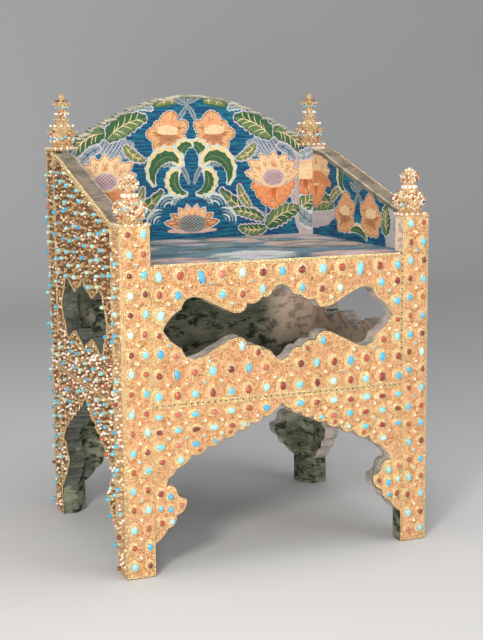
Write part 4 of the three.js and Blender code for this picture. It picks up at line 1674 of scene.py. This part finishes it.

# %% [markdown]
# ## Plain cloth
#
# Below the seat everything wooden is covered in cotton printed with dark leaves. The edges of the
# boards in the openings and arches are wrapped in a paler silk, which is darker on the left side and
# on the side boards, in painted shade, and the arms have a worn beige edging.

# %% Print the cotton and dye the edgings
def printed_cotton():
    f = Finish("printed cotton")
    big = f.noise(11.0, 3.0, 0.55, f.stretched((1.0, 1.0, 1.6)))
    leaves = f.step(f.noise(42.0, 4.0, 0.55, f.stretched((1.0, 1.0, 1.8))), 0.48, 0.60)
    lines = f.step(f.noise(90.0, 4.0, 0.6, f.stretched((0.6, 0.6, 2.6))), 0.54, 0.64)
    threads = f.noise(700.0, 2.0, 0.7)
    across = f.make("SeparateXYZ", None, {"Vector": f.place}, "X")
    up = f.make("SeparateXYZ", None, {"Vector": f.place}, "Z")
    # Painted light: a pool of light is painted on the cotton to the right (x over about 0.2 m) and above 0.3
    # m, where it turns pale pink beige and its print is weaker.
    light_pool = f.step(across, 0.15, 0.23) * f.step(up, 0.30, 0.38)
    ground = f.mix(f.step(big, 0.38, 0.64), paint(84, 92, 76), paint(138, 140, 120))
    faded = f.mix(light_pool * 0.85, ground, paint(244, 216, 194))
    printed = f.mix(leaves * (0.92 - light_pool * 0.5), faded, paint(26, 38, 30))
    streaked = f.mix(lines * 0.30, printed, paint(190, 180, 154))
    worn = f.mix(f.step(threads, 0.55, 0.75) * 0.25, streaked, paint(150, 140, 120))
    return f.done(Base_Color=worn, Roughness=0.8 - big * 0.1, Specular_IOR_Level=0.2,
                  Normal=f.bump(threads + big * 2, 0.0012, 0.5))


def worn_cloth(name, ground, shade, pale, weave=520.0):
    f = Finish(name)
    patches = f.noise(24.0, 4.0, 0.62)
    slubs = f.noise(80.0, 3.0, 0.6, f.stretched((1.0, 1.0, 3.0)))
    threads = f.noise(weave, 2.0, 0.7)
    base = f.mix(f.step(patches, 0.36, 0.62), shade, ground)
    lit = f.mix(f.step(slubs, 0.52, 0.66) * 0.5, base, pale)
    worn = f.mix(f.step(threads, 0.56, 0.72) * 0.3, lit, shade)
    return f.done(Base_Color=worn, Roughness=0.75 - patches * 0.1, Sheen_Weight=0.2,
                  Normal=f.bump(threads + patches * 2, 0.0010, 0.6))


COTTON = printed_cotton()
EDGING = worn_cloth("beige edging", paint(124, 106, 82), paint(76, 64, 46), paint(162, 144, 116))
REVEAL = worn_cloth("wrapped edge", paint(188, 172, 160), paint(120, 124, 116), paint(222, 200, 190))
# Painted shade: the same wrapped edge, darker, for the left side and the side boards.
SHADED = worn_cloth("wrapped edge in painted shade", paint(84, 88, 78), paint(46, 50, 44), paint(130, 130, 112))
PIPING = worn_cloth("piping", paint(178, 172, 150), paint(112, 120, 104), paint(220, 206, 184), 800.0)
print("cloths", [m.name for m in (COTTON, EDGING, REVEAL, SHADED, PIPING)])

# %% [markdown]
# ## Linings below the seat

# %% Line the inside below the seat
def hang_cotton(name, outline, holes, place, node):
    """A flat skin of cloth with its edges turned back."""
    points, triangles, owners = triangulate([outline, *holes])
    keep = [0 in own and not any(h in own for h in range(1, len(holes) + 1)) for own in owners]
    quads, rims, start = [], [], len(points)
    for loop in [outline, *holes]:
        loop = np.array(loop, float)
        count = len(loop)
        rims += [place(loop, np.zeros(count)), place(loop, np.full(count, -CLOTH))]
        quads.append(skirt(count) + start)
        start += 2 * count
    everything = np.concatenate((place(points, np.zeros(len(points))), *rims)) * MM
    mesh = build_mesh(name, everything, [triangles[np.array(keep)], np.concatenate(quads)])
    declare(show(name, mesh, COTTON, [node], smooth=False), outline, holes)


def under_outline(post, lobes, crown):
    top = [np.array((-post, UNDER_TOP)), np.array((post, UNDER_TOP))]
    return (arch_edge(post, lobes, crown) + top)[::-1]


def line_below():
    for face, place in (("front", on_front_inside), ("back", on_back)):
        holes = [FRONT_HOLE] if face == "front" else []
        hang_cotton(f"cotton_{face}", under_outline(*FRONT_SPAN), holes, place, f"under_lining_{face}")
    for side, sx in SIDES:
        hang_cotton(f"cotton_{side}", under_outline(*SIDE_SPAN), [SIDE_HOLE], on_arm(sx),
                    f"under_lining_{side}")
    for corner, sx, sy, _ in CORNERS:
        hang_cotton(f"cotton_leg_{corner}", strip_outline(FLOOR_LIFT, UNDER_TOP), [], on_strip(sx, sy),
                    f"leg_lining_{corner}")


line_below()

# %% [markdown]
# The wrapped edges run round each opening and along each arch, from the gold to the lining.

# %% Wrap the edges of the boards
LINING_DEPTH = HALF_D - BACK_FACE
WRAP = 1.3  # how far the cloth stands off the edge it covers


def open_offset(path, distance):
    path = np.array(path, float)
    return path + left_of(unit(np.gradient(path, axis=0))) * distance


def wrap_edge(name, face, loop, closed, material=REVEAL):
    """A band of cloth that lies on a board's edge; loop runs with the board on its left."""
    path = inset(loop, -WRAP) if closed else open_offset(loop, -WRAP)
    bands = [SHEET_THICK + 0.2, SHEET_THICK + 6, LINING_DEPTH - 8, LINING_DEPTH]
    count = len(path)
    points = []
    for depth in bands:
        wave = np.array([0.0 if depth in (bands[0], bands[-1]) else rng.uniform(-0.3, 0.3) for _ in path])
        points.append(raised(path + wave[:, None] * 0.5, -depth))
    runs = count if closed else count - 1
    quads = []
    for b in range(len(bands) - 1):
        for i in range(runs):
            j = (i + 1) % count
            quads.append((b * count + i, b * count + j, (b + 1) * count + j, (b + 1) * count + i))
    mesh = build_mesh(name, to_world(np.concatenate(points), face), [np.array(quads)])
    piece = show(name, mesh, material)
    length = np.linalg.norm(np.diff(path, axis=0), axis=1).sum()
    if closed:
        length += np.linalg.norm(path[0] - path[-1])
    (bands[-1] - bands[0]) * MM


wrap_edge("wrap_front_opening", "front", FRONT_HOLE[::-1], True)
FRONT_ARCH, SIDE_ARCH = arch_edge(*FRONT_SPAN), arch_edge(*SIDE_SPAN)
wrap_edge("wrap_front_arch", "front", FRONT_ARCH[::-1], False)
wrap_edge("wrap_back_arch", "back", FRONT_ARCH[::-1], False)
for face in ("left", "right"):
    # Painted shade: the left side's wrapped edges take the darker cloth.
    cloth = SHADED if face == "left" else REVEAL
    wrap_edge(f"wrap_{face}_opening", face, SIDE_HOLE[::-1], True, material=cloth)
    wrap_edge(f"wrap_{face}_arch", face, SIDE_ARCH[::-1], False, material=cloth)
print("triangles so far", sum(made.values()))

# %% [markdown]
# ## Edgings, beads and nails
#
# A row of gold beads hides the edge of the sheet along each arm and round each cap. Piping with
# small scallops follows the top of the back and the inner edge of each arm. Nails run along the
# seams of the front in gold rims, and their heads are dark domes: painted shade for heads in shadow.

# %% Lay out rows
def evenly(path, pitch, closed=False):
    """Points at even steps along a path, with the way at each."""
    path = np.array(path, float)
    if closed:
        path = np.vstack((path, path[:1]))
    lengths = np.concatenate(([0], np.cumsum(np.linalg.norm(np.diff(path, axis=0), axis=1))))
    count = max(2, round(lengths[-1] / pitch))
    at = (np.arange(count) + 0.5) / count * lengths[-1]
    return np.column_stack([np.interp(at, lengths, path[:, k]) for k in range(path.shape[1])])


# Painted shade: the nail heads are a near-black brown.
def nail_shade_finish():
    f = Finish("nail heads in painted shade")
    grit = f.noise(400.0, 2.0)
    return f.done(Base_Color=f.mix(grit, (0.02, 0.012, 0.008), (0.07, 0.04, 0.02)),
                  Roughness=0.5 + grit * 0.2)


NAIL_SHADE = nail_shade_finish()


def nail_seams():
    rims, shaded_heads = Pile(), Pile()
    seam = evenly([(-BETWEEN_X, SEAM), (BETWEEN_X, SEAM)], 11.5)
    upright = evenly([(BETWEEN_X - 2, SEAM + 8), (BETWEEN_X - 2, SHEET_TOP - 4)], 11.5)
    for line in (seam, upright):
        places = np.column_stack((line, np.full(len(line), 0.4)))
        rims.put(COLLET, places, (2.0, 2.0, 1.3))
        # Painted shade: each nail head is a dark dome.
        places[:, 2] = 1.0
        shaded_heads.put(DOME, places, (2.2, 2.2, 1.1))
    for z in (SEAM - 3.6, SEAM + 3.6):
        ends = [(-BETWEEN_X, z), (BETWEEN_X, z)]
        lay_wire(rims, evenly(ends, 12), 2.4, 1.9)
    braid = evenly([(-BETWEEN_X, SEAT_TOP - 2), (BETWEEN_X, SEAT_TOP - 2)], 12)
    lay_wire(rims, braid, 4.4, 1.6)
    show_piles("front_seam", [(rims, "front")], POLISHED)
    show_piles("front_nails", [(shaded_heads, "front")], NAIL_SHADE)


def cord_seams():
    for face in ("left", "right"):
        cord = Pile()
        line = evenly([(-HALF_D, SEAM), (HALF_D, SEAM)], 4.2)
        places = np.column_stack((line, np.full(len(line), 1.2)))
        cord.put(BALL, places, (2.5, 2.0, 2.0), spin(np.full(len(line), 0.5)), 0.4)
        for z in (SEAM - 5.5, SEAM + 5.5):
            lay_wire(cord, evenly([(-HALF_D, z), (HALF_D, z)], 12), 2.0, 1.8)
        show_piles(f"side_seam_{face}", [(cord, face)], WIRE_GOLD)


def bead_rows():
    for face in ("left", "right"):
        top = arm_top(BETWEEN_Y, 2.5)
        line = evenly(mirrored(top) if face == "right" else top, 8.4)
        beads = Pile()
        beads.put(BALL, np.column_stack((line, np.full(len(line), 1.6))), 3.4, None, 0.5)
        beads.put(BALL, np.column_stack((line - (0, 7.2), np.full(len(line), 1.4))), 2.3, None, 0.5)
        show_piles(f"arm_beads_{face}", [(beads, face)], POLISHED)
    for corner, sx, sy, top in CORNERS:
        plan = [(HALF_W, HALF_D), (POST_IN_X, HALF_D), (POST_IN_X, BOARD_IN_Y), (BOARD_IN_X, POST_IN_Y),
                (HALF_W, POST_IN_Y)]
        plan = np.array([(sx * x, sy * y) for x, y in plan])
        line = evenly(plan, 6.4, closed=True)
        pearls, golds = Pile(), Pile()
        up = top + GAP + CAP_THICK
        for k, (x, y) in enumerate(line):
            pile = pearls if k % 2 else golds
            pile.put(BALL, [(x * 0.997, y * 0.997, up - 0.3)], 3.0, None, rng.random())
            golds.put(BALL, [(x * 0.999, y * 0.999, up - CAP_THICK - 1.2)], 2.0, None, 0.5)
        show_piles(f"cap_pearls_{corner}", [(pearls, None)], PEARL)
        show_piles(f"cap_beads_{corner}", [(golds, None)], WIRE_GOLD)


def piping():
    roll = Pile()
    line = evenly(back_top(BETWEEN_X)[1:-1], 8.6)
    roll.put(BALL, np.column_stack((line[:, 0], np.full(len(line), BACK_FACE - 0.5), line[:, 1] - 2)),
             (7.4, 2.2, 3.0))
    roll.put(BALL, np.column_stack((line[:, 0], np.full(len(line), BACK_FACE + 16), line[:, 1] + 0.2)),
             (7.2, 15.5, 2.2))
    show_piles("piping_back", [(roll, None)], PIPING)
    for side, sx in SIDES:
        roll = Pile()
        line = evenly(arm_top(BETWEEN_Y, 1.0), 7.0)
        places = np.column_stack((np.full(len(line), sx * ARM_FACE), -line[:, 0], line[:, 1]))
        roll.put(BALL, places, (2.2, 3.9, 2.4))
        show_piles(f"piping_{side}", [(roll, None)], PIPING)


nail_seams()
cord_seams()
bead_rows()
piping()
print("triangles so far", sum(made.values()))

# %% [markdown]
# ## Finials
#
# The knobs on the posts are turned wood in gold sheet, and so thickly set with pearls and stones
# that little gold shows. The small stones are spread by the turn of a sunflower, which packs a
# round surface evenly.

# %% Set the finials
SUNFLOWER = 2.39996  # the turn from one seed to the next


def knob(centre, foot, profile, beads, size):
    """Spreads a number of beads over a round body, whose profile is (radius, height) pairs."""
    heights = np.array([h for _, h in profile])
    radii = np.array([r for r, _ in profile])
    weight = radii * np.gradient(heights)
    reach = np.concatenate(([0], np.cumsum((weight[1:] + weight[:-1]) / 2)))
    places = []
    for i in range(beads):
        h = np.interp((i + 0.5) / beads * reach[-1], reach, heights)
        r = np.interp(h, heights, radii)
        turn = i * SUNFLOWER
        kind = rng.choices(list(RICH), list(RICH.values()))[0]
        places.append((centre[0] + r * math.cos(turn), centre[1] + r * math.sin(turn), foot + h, kind,
                       rng.uniform(0.8, 1.2) * size))
    return places


def bulge(low, high, narrow, wide):
    """A rounded swelling between two heights."""
    return [(narrow + (wide - narrow) * math.sin(math.pi * t) ** 0.7, low + (high - low) * t)
            for t in np.linspace(0, 1, 9)]


RICH = {"pearl": 8, "garnet": 5, "turquoise": 3, "bead": 6}
FRONT_KNOB = [(21, 0), (23, 2), (22, 5), *bulge(6, 45, 18, 30.5), (13, 46.5), (10.5, 51), (11, 55.5),
              *bulge(57, 82, 10, 17.5), (6, 84.5), (3.5, 86.5), (0, 88.5)]
BACK_KNOB = [(20, 0), (22, 2), (20, 5), *bulge(7, 34, 19, 25), (23.5, 38), (20, 44), (15, 51), (10.5, 57),
             (8.8, 63), (8.0, 70), (8.5, 77), *bulge(80, 95, 8, 13.5), (6, 99), (5.5, 102), (6.4, 106),
             (4.5, 110), (0, 113)]


def finish_finial(corner, sx, sy, top):
    centre = (sx * (HALF_W - POST / 2), sy * (HALF_D - POST / 2))
    foot = top + GAP + CAP_THICK + GAP
    front = sy < 0
    points, threes, fours = lathe(FRONT_KNOB if front else BACK_KNOB, 24)
    body, piles = Pile(), new_piles()
    body.add_mesh(points + (*centre, foot), np.array(threes), np.array(fours))
    if front:
        spots = knob(centre, foot, bulge(7, 44, 18.5, 31), 215, 2.2)
        spots += knob(centre, foot, bulge(58, 81, 10.5, 18), 84, 1.9)
        rings = [(12, 8, 51, 4.8, "pearl"), (21.5, 18, 4, 2.6, "bead"), (7, 7, 83.5, 2.2, "pearl"),
                 (2.2, 4, 86.8, 1.8, "pearl")]
    else:
        spots = knob(centre, foot, bulge(9, 33, 19.5, 25.5), 60, 2.7)
        spots += knob(centre, foot, bulge(60, 76, 8, 9.5), 22, 2.0)
        rings = [(25, 10, 20, 3.4, "turquoise"), (29.5, 10, 33, 3.2, "bead"), (24.5, 10, 46, 3.0, "pearl"),
                 (22, 18, 4, 2.6, "bead"), (15.5, 8, 58, 2.9, "bead"), (13, 8, 71, 2.9, "pearl"),
                 (16.5, 8, 91, 3.3, "bead"), (12.5, 8, 84.5, 2.8, "turquoise"), (11.5, 8, 98, 2.4, "garnet")]
    for radius, count, height, size, kind in rings:
        for k in range(count):
            turn = 2 * math.pi * (k + 0.5 * (height % 2)) / count
            spots.append((centre[0] + radius * math.cos(turn), centre[1] + radius * math.sin(turn),
                          foot + height, kind, size))
            if not front and radius > 20 and height > 10:
                inner = radius * 0.86
                near = (centre[0] + inner * math.cos(turn), centre[1] + inner * math.sin(turn),
                        foot + height - 0.5)
                piles["bead"].put(BALL, [near], size * 0.8)
    for x, y, z, kind, size in spots:
        piles[kind].put(BALL, [(x, y, z)], size, None, rng.random())
    name = f"finial_gold_{corner}"
    show_piles(name, [(body, None)], WIRE_GOLD, [f"finial_{corner}"])
    show_stones(name, {kind: [(pile, None)] for kind, pile in piles.items()})


for corner in CORNERS:
    finish_finial(*corner)
print("triangles so far", sum(made.values()))

# %% [markdown]
# ## Wood and the last plain pieces
#
# These pieces keep their packed shape. Only the seat board is bare wood. The posts and boards take the
# cloth that lies on them, and the caps take the gold of the wires.

# %% Finish what keeps its packed shape
def old_wood():
    f = Finish("old walnut")
    grain = f.noise(14.0, 4.0, 0.6, f.stretched((6.0, 6.0, 0.6)))
    pores = f.noise(160.0, 2.0, 0.6, f.stretched((3.0, 3.0, 0.5)))
    base = f.mix(f.step(grain, 0.38, 0.62), paint(70, 44, 28), paint(112, 76, 50))
    return f.done(Base_Color=f.mix(f.step(pores, 0.52, 0.66) * 0.5, base, paint(40, 26, 18)),
                  Roughness=0.62 + pores * 0.12, Normal=f.bump(grain + pores, 0.0006, 0.5))


WOOD = old_wood()
# Painted shade: the side boards take the darker wrapped edge.
KEPT = {"post_cap_": WIRE_GOLD, "post_": COTTON, "front_": REVEAL, "back_": REVEAL, "side_": SHADED,
        "seat_board": WOOD, "arm_edging_": EDGING}


def finish_kept():
    covered = set()
    for name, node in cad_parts.items():
        if node.hide_render:
            covered.add(name)
            continue
        material = next(m for start, m in KEPT.items() if name.startswith(start))
        node.data.materials.clear()
        node.data.materials.append(material)
        print(" ", name, "->", material.name)
    return len(covered)


print("hidden under dressed pieces:", finish_kept())

# %% [markdown]
# ## The floor
#
# A plain pale sheet that rises behind the throne, so that nothing but the throne draws the eye.

# %% Lay the floor
def lay_floor():
    points, radius, back, half = [], 1.2, 3.2, 9.0
    profile = [(-9.0, 0.0), (back, 0.0)]
    for i in range(1, 17):
        a = i / 16 * math.pi / 2
        profile.append((back + radius * math.sin(a), radius * (1 - math.cos(a))))
    profile.append((back + radius, 7.0))
    for y, z in profile:
        points += [(-half, y, z), (half, y, z)]
    quads = [(2 * i, 2 * i + 1, 2 * i + 3, 2 * i + 2) for i in range(len(profile) - 1)]
    mesh = bpy.data.meshes.new("floor")
    mesh.from_pydata(points, [], quads)
    mesh.polygons.foreach_set("use_smooth", np.full(len(quads), True))
    floor = bpy.data.objects.new("floor", mesh)
    bpy.context.scene.collection.objects.link(floor)
    f = Finish("floor paper")
    speck = f.noise(3.0, 2.0)
    mesh.materials.append(f.done(Base_Color=f.mix(speck * 0.2, (0.62, 0.62, 0.62), (0.57, 0.575, 0.58)),
                                 Roughness=0.75 + speck * 0.1))
    return floor


lay_floor()
print("triangles in all", sum(made.values()))

# %% [markdown]
# The dressed throne may stand only a little proud of the solids.
